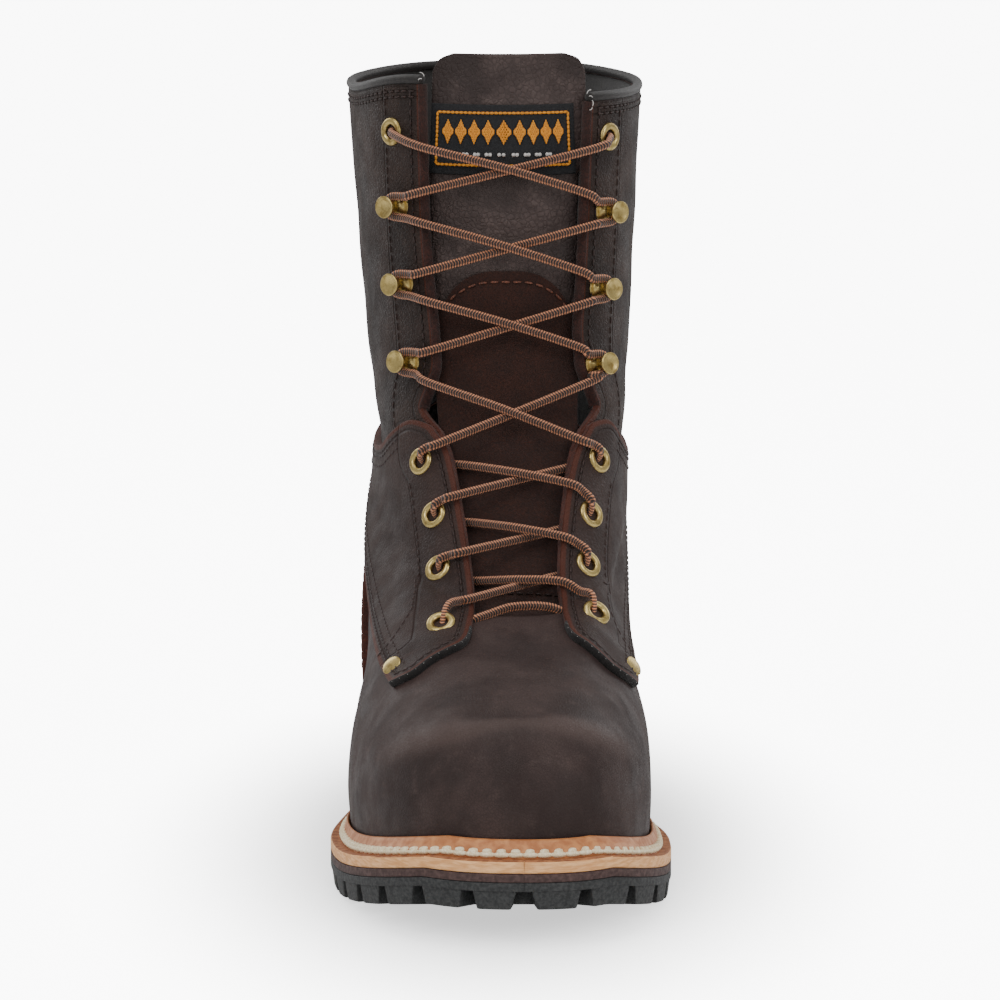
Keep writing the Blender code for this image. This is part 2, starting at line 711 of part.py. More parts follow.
def make_outsole(paint, collection, cutters):
    """The rubber sheet under the midsoles, thicker at the forefoot, where the lugs are cut out."""
    above = TAN_MIDSOLE + BROWN_MIDSOLE
    start = angle_at(LUGS_START)
    angles = sorted([*stations(), start, start + 0.004])
    angles = [angle for angle in angles if not 0.004 < abs(angle - start) < 0.05]
    step = -(layer_edge(start).y + layer_edge(start + 0.004).y) / 2

    def below(corner):
        lug = LUG_DEPTH + GAP if -corner.y > step else 0.0
        return corner - Vector((0, 0, OUTSOLE_BASE - GAP + lug))
    made = new_object("outsole", sole_layer(above, below, angles), paint, collection)
    toe = (sole_edge(0.0001), Vector((1, 0, 0)))
    gaps = [(*toe, TOE_GAP_SHARE)]
    gaps += [(*place, 1.0) for place in edge_walk(LUG_PITCH_OUTER, LUG_ROWS, 1)]
    gaps += [(*place, 1.0) for place in edge_walk(LUG_PITCH_INNER, LUG_ROWS, -1)]
    def roof(along):
        return sole_top(along) - above - OUTSOLE_BASE
    first = LAST_LENGTH * LUGS_START + LUG_GAP_BOTTOM * 2
    places = [(*gap, LUG_REACH_IN) for gap in gaps if -gap[0].y > first]
    cut(made, lug_cutter("lug_gaps", places, roof, LUG_DEPTH, cutters))
    places = []
    for row in range(CENTRE_GROOVES):
        share = CENTRE_FIRST + (CENTRE_LAST - CENTRE_FIRST) * row / (CENTRE_GROOVES - 1)
        middle = Vector((last_point(0.0, 0.0).x * share, -LAST_LENGTH * share, 0))
        places.append((middle, Vector((0, 1, 0)), CENTRE_GAP_SHARE, CENTRE_WIDTH / 2))
    cut(made, lug_cutter("centre_gaps", places, roof, LUG_DEPTH, cutters))
    return made


def make_heel(paint, collection, cutters):
    """The stacked heel, flat on the floor, with gaps round its lowest part."""
    above = TAN_MIDSOLE + BROWN_MIDSOLE + OUTSOLE_BASE
    breast = angle_at(HEEL_LENGTH / LAST_LENGTH)
    angles = [breast, *(angle for angle in stations() if angle > breast + 0.02)]
    middle = Vector((sole_edge(math.pi).x, -HEEL_LENGTH / 2, 0))

    def below(corner):
        away = (Vector((corner.x, corner.y, 0)) - middle).normalized()
        return Vector((corner.x, corner.y, 0)) - away * HEEL_TAPER
    heel = new_object("heel", sole_layer(above, below, angles), paint, collection)
    places = []
    for degrees in (112, 132, 152, 180, 208, 228, 248):
        angle = math.radians(degrees)
        along = (sole_edge(angle + 0.01) - sole_edge(angle - 0.01)).normalized()
        places.append((sole_edge(angle), along, HEEL_GAP_SHARE, HEEL_LUG_REACH))
    cut(heel, lug_cutter("heel_gaps", places, lambda along: HEEL_LUG_DEPTH, HEEL_LUG_DEPTH, cutters))
    return heel


def turned(name, outline, paint, segments):
    """A turned mesh about Z from (radius, height) points that run from top to bottom."""
    bm = bmesh.new()
    verts = [bm.verts.new((radius, 0, height)) for radius, height in outline]
    for a, b in zip(verts, verts[1:]):
        bm.edges.new((a, b))
    if outline[0][0] > 0:
        bm.edges.new((verts[-1], verts[0]))
    mesh = bpy.data.meshes.new(name)
    bm.to_mesh(mesh)
    bm.free()
    mesh.materials.append(paint)
    return mesh, segments


def place_turned(name, shape, spot, collection):
    """An object of a turned mesh, standing on a point along a direction."""
    mesh, segments = shape
    made = bpy.data.objects.new(name, mesh)
    point, outward = spot
    made.location = point
    made.rotation_euler = outward.to_track_quat("Z", "Y").to_euler()
    spin = made.modifiers.new("turn", "SCREW")
    spin.steps = segments
    spin.render_steps = segments
    spin.use_merge_vertices = True
    spin.merge_threshold = 0.00002
    collection.objects.link(made)
    return made


def eyelet_outline(seat):
    """Half outline of an eyelet whose flange lies at a height and whose rim is inside the wall."""
    bore = EYELET_BORE / 2
    barrel = bore + EYELET_METAL
    flange = EYELET_FLANGE / 2
    top = seat + FIT
    rim = -UPPER_WALL - FIT * 2
    return (
        (bore, top + 0.0006),
        (bore + 0.0012, top + 0.0010),
        (flange, top),
        (barrel, top),
        (barrel, rim),
        (barrel + 0.0008, rim),
        (bore, rim - 0.0006),
    )


def hook_outline():
    """Half outline of a lacing hook: a base, a waist and a rounded head."""
    top = HOOK_HEIGHT
    head = HOOK_HEAD / 2
    return (
        (0.0, top),
        (head * 0.62, top - 0.0003),
        (head, top - 0.0016),
        (head * 0.86, top - 0.0028),
        (HOOK_WAIST / 2, top - 0.0042),
        (HOOK_WAIST / 2, 0.0015),
        (HOOK_BASE / 2, 0.0006),
        (HOOK_BASE / 2, 0.0),
        (0.0, 0.0),
    )


def rivet_outline():
    """Half outline of a flat rivet head."""
    return ((0.0, 0.0009), (RIVET * 0.36, 0.0008), (RIVET / 2, 0.0003), (RIVET / 2, 0.0), (0.0, 0.0))


def both_sides(row, lift):
    """The two places of a lacing row: name ending, place and outward direction."""
    outer = skin(row[0], math.radians(row[1]), lift)
    inner = skin(row[2], -math.radians(row[3]), lift)
    return (("outer", outer), ("inner", inner))


def make_hardware(paint, collection, cutters, upper, quarters):
    """Eyelets with their holes, hooks and rivets."""
    lower = turned("lower_eyelet", eyelet_outline(FIT + OVERLAY_WALL), paint, 8)
    upper_one = turned("top_eyelet", eyelet_outline(0.0), paint, 8)
    hook = turned("hook", hook_outline(), paint, 8)
    rivet = turned("tab_rivet", rivet_outline(), paint, 8)
    radius = EYELET_BORE / 2 + EYELET_METAL + FIT
    lower_holes = []
    top_holes = []
    for number, row in enumerate(LOWER_EYELETS, 1):
        for side, spot in both_sides(row, 0.0):
            place_turned(f"lower_eyelet_{number}_{side}", lower, spot, collection)
            lower_holes.append(spot)
    for side, spot in both_sides(TOP_EYELET, 0.0):
        place_turned(f"top_eyelet_{side}", upper_one, spot, collection)
        top_holes.append(spot)
    for number, row in enumerate(HOOKS, 1):
        for side, spot in both_sides(row, FIT):
            place_turned(f"hook_{number}_{side}", hook, spot, collection)
    for side, spot in both_sides(TAB_RIVET, FIT + OVERLAY_WALL + FIT):
        place_turned(f"tab_rivet_{side}", rivet, spot, collection)
    for name, spots, targets in (
        ("lower_holes", lower_holes, (upper, *quarters)),
        ("top_holes", top_holes, (upper,)),
    ):
        bm = bmesh.new()
        for point, outward in spots:
            turn = outward.to_track_quat("Z", "Y").to_matrix().to_4x4()
            bmesh.ops.create_cone(
                bm,
                cap_ends=True,
                segments=8,
                radius1=radius,
                radius2=radius,
                depth=UPPER_WALL * 5,
                matrix=Matrix.Translation(point) @ turn,
            )
        cutter = add_cutter(name, bm, cutters)
        for target in targets:
            cut(target, cutter)


def tube(name, points, thickness, paint, collection):
    """A round cord through points, with closed ends."""
    line = bpy.data.curves.new(name, "CURVE")
    line.dimensions = "3D"
    line.bevel_depth = thickness / 2
    line.bevel_resolution = 1
    line.use_fill_caps = True
    spline = line.splines.new("POLY")
    spline.points.add(len(points) - 1)
    for place, point in zip(spline.points, points):
        place.co = (*point, 1.0)
    line.materials.append(paint)
    made = bpy.data.objects.new(name, line)
    collection.objects.link(made)
    return made


def to_mesh_object(name, cord, collection):
    """A cord's mesh as an object, so that it can be joined to another."""
    bpy.context.view_layer.update()
    ready = cord.evaluated_get(bpy.context.evaluated_depsgraph_get())
    mesh = bpy.data.meshes.new_from_object(ready)
    bm = bmesh.new()
    bm.from_mesh(mesh)
    bmesh.ops.remove_doubles(bm, verts=bm.verts, dist=0.00001)
    bmesh.ops.recalc_face_normals(bm, faces=bm.faces)
    bm.to_mesh(mesh)
    bm.free()
    bpy.data.objects.remove(cord, do_unlink=True)
    made = bpy.data.objects.new(name, mesh)
    collection.objects.link(made)
    return made


def strand_points(start_row, end_row, side, crossing, start_lift, edge_lifts, end_lift, stack):
    """A strand from one side of a lacing row to the other side of the next row up."""
    near, far, start_mix, end_mix = crossing
    first = 0 if side > 0 else 2
    last = 2 - first
    low, low_degrees = start_row[first], start_row[first + 1]
    high, high_degrees = end_row[last], end_row[last + 1]

    def spot(level, which, mix, degrees, lift):
        edge = look_up(THROAT, level)[0 if which > 0 else 1] - 1.5
        angle = edge + (degrees - edge) * mix
        return skin(level, which * math.radians(angle), lift)[0]
    apart = Vector((0, 0, LACE * 0.72))
    rise = apart * (start_mix > 0.5)
    dip = apart * (end_mix > 0.5)
    points = [
        spot(low, side, start_mix, low_degrees, start_lift) + rise,
        spot(low + (high - low) * near, side, 0.0, 0.0, edge_lifts[0]),
        spot(low + (high - low) * far, -side, 0.0, 0.0, edge_lifts[1]),
        spot(high, -side, end_mix, high_degrees, end_lift) - dip,
    ]
    if not stack:
        return points
    middle = (points[1] + points[2]) / 2 + Vector((0, -1, 0.4)).normalized() * stack
    return [*points[:2], middle, *points[2:]]


def make_laces(paint, collection, cutters):
    """The bottom bar and one joined solid for each crossing."""
    over = LACE / 2 + GAP * 3
    over_quarter = over + FIT + OVERLAY_WALL
    under = -(UPPER_WALL + FIT + GAP + LACE / 2)
    on_hook = FIT + 0.0030
    rows = (*LOWER_EYELETS, *HOOKS, TOP_EYELET)
    for number in range(len(rows) - 1):
        if number < 3:
            crossing = LOWER_CROSSING
            lifts = (over_quarter, (over_quarter, under), under)
        elif number == 3:
            crossing = FOURTH_CROSSING
            lifts = (over_quarter, (over_quarter, over), on_hook)
        elif number < len(rows) - 2:
            crossing = HOOK_CROSSING
            lifts = (on_hook, (over, over), on_hook)
        else:
            crossing = LAST_CROSSING
            lifts = (on_hook, (over, over), over)
        strands = []
        for side, stack in ((1, 0.0), (-1, LACE_STACK)):
            points = strand_points(
                rows[number], rows[number + 1], side, crossing, lifts[0], lifts[1], lifts[2], stack
            )
            strands.append(tube(f"strand_{number}_{side}", points, LACE, paint, cutters))
        joined = to_mesh_object(f"lace_crossing_{number + 1}", strands[0], collection)
        other = to_mesh_object(f"lace_under_{number + 1}", strands[1], cutters)
        other.hide_render = True
        other.display_type = "WIRE"
        union = joined.modifiers.new("joined", "BOOLEAN")
        union.operation = "UNION"
        union.solver = "EXACT"
        union.object = other
    bar = []
    for level, degrees, lift in (
        (0.465, 27.0, under),
        (0.495, 21.0, under),
        (0.522, 10.0, under * 0.9),
        (0.532, 0.0, under * 0.8),
        (0.524, -10.0, under * 0.9),
        (0.500, -21.5, under),
        (0.470, -29.0, under),
    ):
        bar.append(skin(level, math.radians(degrees), lift)[0])
    tube("lace_bar", bar, LACE, paint, collection)


def make_binding(paint, collection):
    """The rolled edge along the collar, from one side of the throat round the back to the other."""
    level = LEVELS[-1]
    points = []
    for column in range(SIDE_COLUMNS + 1):
        angle = side_angle(level, column)
        middle = skin(level + collar_lift(level, angle), angle, -UPPER_WALL / 2)[0]
        points.append(middle + Vector((0, 0, BINDING / 2 + GAP * 2)))
    tube("collar_binding", points, BINDING, paint, collection)


def centre_on_floor(boot, cutters):
    """Move everything so that the boot's outline is centred over the origin, standing on the floor."""
    bpy.context.view_layer.update()
    depsgraph = bpy.context.evaluated_depsgraph_get()
    corners = []
    for made in boot.objects:
        ready = made.evaluated_get(depsgraph)
        corners += [made.matrix_world @ vert.co for vert in ready.to_mesh().vertices]
        ready.to_mesh_clear()
    low = [min(corner[i] for corner in corners) for i in range(3)]
    high = [max(corner[i] for corner in corners) for i in range(3)]
    frame = bpy.data.objects.new("boot_frame", None)
    bpy.context.scene.collection.objects.link(frame)
    frame.location = (-(low[0] + high[0]) / 2, -(low[1] + high[1]) / 2, -low[2])
    for made in (*boot.objects, *cutters.objects):
        made.parent = frame


def main():
    """Build the boot."""
    clear_scene()
    boot = bpy.data.collections.new("logger_boot")
    cutters = bpy.data.collections.new("cutters")
    bpy.context.scene.collection.children.link(boot)
    bpy.context.scene.collection.children.link(cutters)
    leather = material("dark_leather", (0.055, 0.045, 0.040), 0.55)
    quarter_leather = material("quarter_leather", (0.085, 0.066, 0.062), 0.55)
    suede = material("tongue_leather", (0.050, 0.042, 0.040), 0.75)
    lining = material("insole_lining", (0.30, 0.22, 0.15), 0.85)
    black = material("patch_cloth", (0.012, 0.012, 0.013), 0.8)
    binding = material("binding", (0.060, 0.055, 0.052), 0.6)
    welt = material("welt_leather", (0.45, 0.21, 0.10), 0.5)
    tan = material("tan_midsole", (0.62, 0.41, 0.24), 0.6)
    brown = material("brown_midsole", (0.085, 0.070, 0.065), 0.65)
    rubber = material("rubber", (0.035, 0.035, 0.036), 0.75)
    brass = material("brass", (0.55, 0.45, 0.24), 0.3, 1.0)
    lace = material("lace", (0.16, 0.07, 0.035), 0.8)

    upper = make_upper(leather, boot)
    outer = make_quarter("quarter_outer", 1, quarter_leather, boot)
    inner = make_quarter("quarter_inner", -1, quarter_leather, boot)
    make_counter(leather, boot)
    make_binding(binding, boot)
    make_tongue(suede, boot)
    make_patch(black, boot)
    make_insole(lining, boot)
    make_welt(welt, boot)
    new_object("tan_midsole", sole_layer(0.0, sunk(TAN_MIDSOLE - GAP)), tan, boot)
    new_object("brown_midsole", sole_layer(TAN_MIDSOLE, sunk(BROWN_MIDSOLE - GAP)), brown, boot)
    make_outsole(rubber, boot, cutters)
    make_heel(rubber, boot, cutters)
    make_hardware(brass, boot, cutters, upper, (outer, inner))
    make_laces(lace, boot, cutters)
    centre_on_floor(boot, cutters)


main()
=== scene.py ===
# %% [markdown]
# # A logger boot, dressed over its solids
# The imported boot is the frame, and every piece here is laid on the same surface as its solids.

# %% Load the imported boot
import math

import bmesh
import bpy
import numpy as np
from mathutils import Matrix, Vector


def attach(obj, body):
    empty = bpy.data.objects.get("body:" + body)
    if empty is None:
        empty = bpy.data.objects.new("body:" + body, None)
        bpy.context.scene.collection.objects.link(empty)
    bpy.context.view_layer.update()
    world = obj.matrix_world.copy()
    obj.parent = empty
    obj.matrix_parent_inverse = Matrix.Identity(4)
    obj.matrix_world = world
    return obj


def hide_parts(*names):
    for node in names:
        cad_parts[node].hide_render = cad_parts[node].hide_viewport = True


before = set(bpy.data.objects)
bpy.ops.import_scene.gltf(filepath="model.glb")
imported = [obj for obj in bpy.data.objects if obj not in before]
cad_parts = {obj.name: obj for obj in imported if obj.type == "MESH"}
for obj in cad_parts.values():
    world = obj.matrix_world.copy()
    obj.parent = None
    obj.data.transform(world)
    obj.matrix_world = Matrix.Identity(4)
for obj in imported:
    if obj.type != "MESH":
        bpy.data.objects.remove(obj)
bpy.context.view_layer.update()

# %% [markdown]
# The boot's sizes, in metres, as its solids have them. SHIFT is how far the last was moved to
# centre the boot over the origin.

# %% Sizes
SHIFT = np.array((-0.000401, 0.154532, 0.0))
LAST_LENGTH = 0.302
BALL_WIDTH = 0.103
INSTEP_HEIGHT = 0.0755
SHAFT_HEIGHT = 0.203
SHAFT_WIDTH = 0.105
SHAFT_DEPTH = 0.134
LUG_DEPTH = 0.0062
OUTSOLE_BASE = 0.0030
BROWN_MIDSOLE = 0.0028
TAN_MIDSOLE = 0.0042
HEEL_LIFT = 0.0478
HEEL_LENGTH = 0.078
HEEL_TAPER = 0.0025
TOE_SPRING = 0.013
REACH_TOE = 0.0095
REACH_SIDE = 0.0068
REACH_HEEL = 0.0030
LUG_PITCH_OUTER = 0.0186
LUG_PITCH_INNER = 0.0206
LUG_GAP_TOP = 0.0033
LUG_GAP_BOTTOM = 0.0060
TOE_GAP_SHARE = 1.43
LUG_REACH_IN = 0.0170
HEEL_LUG_DEPTH = 0.0080
HEEL_LUG_REACH = 0.0110
WELT_INSET = 0.0036
UPPER_WALL = 0.0022
OVERLAY_WALL = 0.0018
TONGUE_WALL = 0.0026
INSOLE_WALL = 0.0035
GAP = 0.0003
FIT = 0.0007
LACE_ROOM = 0.0042
LACE = 0.0026
BINDING = 0.0034
EYELET_FLANGE = 0.0100
EYELET_BORE = 0.0048
HOOK_BASE = 0.0094
HOOK_WAIST = 0.0040
HOOK_HEAD = 0.0079
HOOK_HEIGHT = 0.0085
RIVET = 0.0072
SEAT_END = 0.235
BALL_START = 0.575
SPRING_START = 0.715
WELT_START = 0.262
LUGS_START = 0.400
COLLAR_PEAK = 0.024
BALL_STACK = LUG_DEPTH + OUTSOLE_BASE + BROWN_MIDSOLE + TAN_MIDSOLE
HEEL_SEAT = HEEL_LIFT + OUTSOLE_BASE + BROWN_MIDSOLE + TAN_MIDSOLE
QUARTER_LIFT = FIT + OVERLAY_WALL
print("sole under the ball:", round(BALL_STACK, 4), "under the heel:", round(HEEL_SEAT, 4))

# %% [markdown]
# Rings of the last, heel to toe and sole to collar: level, front, front_up, back, back_up, then
# the outer and inner half widths at heel, waist and ball, the shifts, and the shapes of the ends.

# %% Rings
FOOT_RINGS = (
    (0.00, 1.000, 0.00, 0.010, 0.00, 0.335, 0.400, 0.512, 0.335, 0.340, 0.470, 0.075, -0.035, 0.36, 0.16, 2.45),
    (0.08, 0.997, 0.20, 0.004, 0.19, 0.365, 0.430, 0.524, 0.360, 0.385, 0.478, 0.075, -0.035, 0.36, 0.16, 2.45),
    (0.16, 0.982, 0.42, 0.000, 0.40, 0.380, 0.440, 0.502, 0.372, 0.420, 0.466, 0.075, -0.035, 0.36, 0.18, 2.40),
    (0.24, 0.950, 0.59, 0.003, 0.60, 0.375, 0.435, 0.447, 0.368, 0.430, 0.426, 0.070, -0.035, 0.38, 0.20, 2.30),
    (0.32, 0.890, 0.72, 0.010, 0.77, 0.365, 0.430, 0.395, 0.360, 0.430, 0.378, 0.063, -0.035, 0.42, 0.24, 2.20),
    (0.40, 0.805, 0.85, 0.020, 0.93, 0.355, 0.425, 0.368, 0.352, 0.430, 0.362, 0.058, -0.035, 0.46, 0.28, 2.15),
    (0.46, 0.730, 0.935, 0.030, 1.06, 0.350, 0.420, 0.368, 0.348, 0.428, 0.378, 0.055, -0.030, 0.48, 0.32, 2.10),
    (0.52, 0.670, 1.00, 0.038, 1.19, 0.345, 0.415, 0.385, 0.345, 0.425, 0.405, 0.055, -0.025, 0.50, 0.36, 2.10),
)
LEG_RINGS = (
    (0.60, 1.345, 0.275, 0.095, 0.500, 0.350, 0.405, 0.395, 0.350, 0.418, 0.412, 0.045, -0.020, 0.50, 0.40, 2.10),
    (0.68, 1.205, 0.400, 0.095, 0.565, 0.375, 0.436, 0.424, 0.380, 0.435, 0.430, 0.035, -0.015, 0.50, 0.42, 2.15),
    (0.76, 1.105, 0.530, 0.080, 0.650, 0.410, 0.460, 0.448, 0.400, 0.450, 0.440, 0.030, -0.015, 0.50, 0.44, 2.20),
    (0.86, 1.055, 0.700, 0.055, 0.775, 0.450, 0.485, 0.470, 0.430, 0.466, 0.456, 0.027, -0.013, 0.50, 0.46, 2.25),
    (1.00, 1.015, 0.980, 0.020, 1.010, 0.480, 0.516, 0.496, 0.458, 0.492, 0.478, 0.023, -0.017, 0.50, 0.50, 2.30),
    (1.10, 1.005, 1.120, 0.010, 1.150, 0.495, 0.528, 0.508, 0.475, 0.508, 0.492, 0.023, -0.017, 0.50, 0.50, 2.30),
)
print("rings:", len(FOOT_RINGS), "of the foot,", len(LEG_RINGS), "of the leg")

# %% [markdown]
# Edges of the pieces, as levels and as degrees from the front on the outer and the inner side.

# %% Edges
THROAT = (
    (0.00, 24.0, 24.0), (0.36, 24.0, 28.0), (0.42, 24.0, 29.0), (0.48, 21.2, 23.2),
    (0.54, 20.0, 20.0), (0.60, 22.3, 21.5), (0.67, 25.0, 26.2), (0.695, 28.5, 31.0),
    (0.710, 39.0, 43.0), (0.73, 34.5, 38.0), (0.76, 28.8, 31.0), (0.80, 28.8, 28.8),
    (0.885, 30.7, 30.2), (1.00, 29.2, 30.9), (1.10, 29.0, 31.0),
)
TONGUE_SIDES = (
    (0.44, 15.0, 15.0), (0.47, 25.0, 25.0), (0.54, 30.0, 30.0), (0.70, 36.0, 37.0),
    (0.90, 34.0, 34.0), (1.00, 30.5, 31.0), (1.04, 29.0, 29.5), (1.058, 25.0, 25.5),
    (1.066, 17.0, 17.0),
)
TONGUE_BULGE = 0.55
LOWER_EYELETS = (
    (0.426, 35.3, 0.425, 44.0),
    (0.540, 34.8, 0.547, 33.5),
    (0.600, 34.8, 0.600, 35.4),
    (0.654, 38.4, 0.655, 39.4),
)
HOOKS = (
    (0.757, 41.9, 0.757, 38.5),
    (0.840, 42.0, 0.837, 38.8),
    (0.910, 42.3, 0.906, 40.8),
)
TOP_EYELET = (0.973, 44.3, 0.969, 42.4)
TAB_RIVET = (0.290, 52.0, 0.264, 60.0)
print("eyelet rows:", len(LOWER_EYELETS) + 1, "hook rows:", len(HOOKS))

# %% [markdown]
# The last as a surface: any level and angle gives a point. Angle 0 is the front, and positive
# angles go round by the outer side.

# %% Rings in metres
def ease(share):
    share = np.clip(share, 0.0, 1.0)
    return share * share * (3 - 2 * share)


def sole_top(along):
    share = along / LAST_LENGTH
    heel = (HEEL_SEAT - BALL_STACK) * (1 - ease((share - SEAT_END) / (BALL_START - SEAT_END)))
    spring = TOE_SPRING * np.maximum(0.0, (share - SPRING_START) / (1 - SPRING_START)) ** 1.7
    return BALL_STACK + heel + spring


def ring_rows():
    rows = []
    for row in FOOT_RINGS:
        ends = [row[1] * LAST_LENGTH, sole_top(row[1] * LAST_LENGTH) + GAP + row[2] * INSTEP_HEIGHT]
        ends += [row[3] * LAST_LENGTH, HEEL_SEAT + GAP + row[4] * INSTEP_HEIGHT]
        rows.append([row[0], *ends, *(share * BALL_WIDTH for share in row[5:13]), *row[13:]])
    for row in LEG_RINGS:
        ends = [row[1] * SHAFT_DEPTH, HEEL_SEAT + GAP + row[2] * SHAFT_HEIGHT]
        ends += [row[3] * SHAFT_DEPTH, HEEL_SEAT + GAP + row[4] * SHAFT_HEIGHT]
        rows.append([row[0], *ends, *(share * SHAFT_WIDTH for share in row[5:13]), *row[13:]])
    return np.array(rows, float)


RINGS = ring_rows()
print("rings:", len(RINGS))

# %% A point of the last
def ring_at(level):
    last = len(RINGS) - 2
    k = np.clip(np.searchsorted(RINGS[:, 0], level) - 1, 0, last)
    before, low = RINGS[np.maximum(k - 1, 0)], RINGS[k]
    high, after = RINGS[k + 1], RINGS[np.minimum(k + 2, last + 1)]
    span = (high[..., 0] - low[..., 0])[..., None]
    u = (level - low[..., 0])[..., None] / span
    slope_low = (high - before) / (high - before)[..., :1] * span
    slope_high = (after - low) / (after - low)[..., :1] * span
    return (
        low * (1 + 2 * u) * (1 - u) ** 2
        + slope_low * u * (1 - u) ** 2
        + high * u * u * (3 - 2 * u)
        + slope_high * u * u * (u - 1)
    )


def last_point(level, angle, grow=0.0):
    level, angle = np.broadcast_arrays(np.asarray(level, float), np.asarray(angle, float))
    (_, front, front_z, back, back_z, heel_o, waist_o, ball_o, heel_i, waist_i, ball_i,
     shift_f, shift_b, round_f, round_b, blunt) = np.moveaxis(ring_at(level), -1, 0)
    share = (1 + np.cos(angle)) / 2
    outer = np.sin(angle) >= 0
    heel = np.where(outer, heel_o, heel_i)
    waist = np.where(outer, waist_o, waist_i)
    ball = np.where(outer, ball_o, ball_i)
    back_part = heel + (waist - heel) * ease((share - 0.10) / 0.35)
    front_part = waist + (ball - waist) * ease((share - 0.45) / 0.27)
    width = np.where(share < 0.45, back_part, front_part)
    into_front = np.maximum(0.0, (share - 1 + round_f) / round_f)
    into_back = np.maximum(0.0, (round_b - share) / round_b)
    cap = np.maximum(0.0, 1 - np.maximum(into_front, into_back) ** blunt) ** (1 / blunt)
    reach = grow(share) if callable(grow) else grow
    shift = shift_b + (shift_f - shift_b) * share**2
    x = shift + (width + reach) * cap * np.where(outer, -1, 1)
    end = ease((share - 0.68) / 0.32) - ease((0.22 - share) / 0.22)
    along = back + (front - back) * share + reach * end
    chord = back_z + (front_z - back_z) * share
    low_chord = RINGS[0][4] + (RINGS[0][2] - RINGS[0][4]) * share
    sag = sole_top(np.clip(along, 0.0, LAST_LENGTH)) + GAP - low_chord
    z = chord + sag * np.maximum(0.0, 1 - level / 0.52) ** 1.2
    return np.stack((x, -along, z), axis=-1) + SHIFT


def unit(vectors):
    return vectors / np.maximum(np.linalg.norm(vectors, axis=-1, keepdims=True), 1e-12)


def bare_skin(level, angle):
    step = 0.004
    round_it = last_point(level, angle + step) - last_point(level, angle - step)
    up_it = last_point(level + step, angle) - last_point(level - step, angle)
    return last_point(level, angle), unit(np.cross(up_it, round_it))


print("toe of the last:", last_point(0.0, 0.0).round(4))

# %% Tables, tongue and sole edge
def look_up(table, value):
    """A table's later columns at a value of its first, by straight runs between its rows."""
    rows = np.array(table, float)
    k = np.clip(np.searchsorted(rows[:, 0], value) - 1, 0, len(rows) - 2)
    u = np.clip((value - rows[k, 0]) / (rows[k + 1, 0] - rows[k, 0]), 0, 1)[..., None]
    return rows[k, 1:] + (rows[k + 1, 1:] - rows[k, 1:]) * u


def smooth_look_up(table, value, blur=0.006):
    """The same, with the table's corners rounded over a short stretch."""
    value = np.asarray(value, float)
    steps = np.linspace(-1, 1, 7) * blur
    return sum(look_up(table, value + step) for step in steps) / len(steps)


def collar_lift(level, angle):
    degrees = np.abs(np.degrees(np.arctan2(np.sin(angle), np.cos(angle))))
    near_front = ease((85 - degrees) / 55)
    side = np.where(np.sin(angle) >= 0, 1.0, 0.2)
    return COLLAR_PEAK * side * near_front * ease((level - 0.85) / 0.15)


def tongue_point(level, across, depth=0.0):
    level, across = np.broadcast_arrays(np.asarray(level, float), np.asarray(across, float))
    sides = np.radians(smooth_look_up(TONGUE_SIDES, level, 0.004))
    outer, inner = sides[..., 0], sides[..., 1]
    deep = -(UPPER_WALL + LACE_ROOM)
    share = (1 + across) / 2
    ends = []
    for angle in (outer, -inner, outer - (outer + inner) * share):
        place, outward = bare_skin(level, angle)
        ends.append(place + outward * deep)
    chord = ends[0] + (ends[1] - ends[0]) * share[..., None]
    return chord + (ends[2] - chord) * TONGUE_BULGE - outward * np.asarray(depth)[..., None], outward


def sole_reach(share):
    heel = REACH_HEEL + (REACH_SIDE - REACH_HEEL) * ease(share / 0.35)
    toe = REACH_SIDE + (REACH_TOE - REACH_SIDE) * ease((share - 0.6) / 0.4)
    return np.where(share < 0.5, heel, toe)


def sole_edge(angle, inset=0.0):
    return last_point(0.0, angle, lambda share: sole_reach(share) - inset)


def angle_at(share):
    return math.acos(min(1.0, max(-1.0, 2 * share - 1)))


print("toe tip:", sole_edge(0.0).round(4), "collar front:", last_point(1.0, 0.5).round(4))

# %% [markdown]
# The camera looks down a little at the toe, as the photograph does.

# %% Camera
scene = bpy.context.scene
lens = bpy.data.cameras.new("camera")
lens.lens = 177.4
lens.sensor_width = 36.0
camera = bpy.data.objects.new("camera", lens)
camera.location = (SHIFT[0], SHIFT[1] - 1.851, 0.3788)
camera.rotation_euler = (math.pi / 2 - 0.150, 0.0, 0.0)
scene.collection.objects.link(camera)
scene.camera = camera
print("camera:", tuple(round(v, 4) for v in camera.location))

# %% [markdown]
# Small helpers for materials: one adds a node and sets or links its inputs, the others are the
# few patterns that every material is made from.

# %% Material helpers
def new_paint(name, **values):
    paint = bpy.data.materials.new(name)
    paint.use_nodes = True
    shader = paint.node_tree.nodes["Principled BSDF"]
    for key, value in values.items():
        shader.inputs[key.replace("_", " ")].default_value = value
    return paint, shader


def node(tree, kind, inputs, output=0, **settings):
    made = tree.nodes.new("ShaderNode" + kind)
    for key, value in settings.items():
        setattr(made, key, value)
    for key, value in inputs.items():
        if isinstance(value, bpy.types.NodeSocket):
            tree.links.new(value, made.inputs[key])
        else:
            made.inputs[key].default_value = value
    return made.outputs[output]


def colour(red, green, blue):
    """A colour given in 0-255 steps, as the shader wants it."""
    steps = np.array((red, green, blue)) / 255
    linear = np.where(steps <= 0.04045, steps / 12.92, ((steps + 0.055) / 1.055) ** 2.4)
    return (*(float(part) for part in linear), 1.0)


def place_of(tree):
    return node(tree, "TexCoord", {}, output="Object")


def noise(tree, scale, detail=3.0, rough=0.5, warp=0.0, where=None):
    return node(tree, "TexNoise", {
        "Vector": where or place_of(tree), "Scale": scale, "Detail": detail,
        "Roughness": rough, "Distortion": warp,
    })


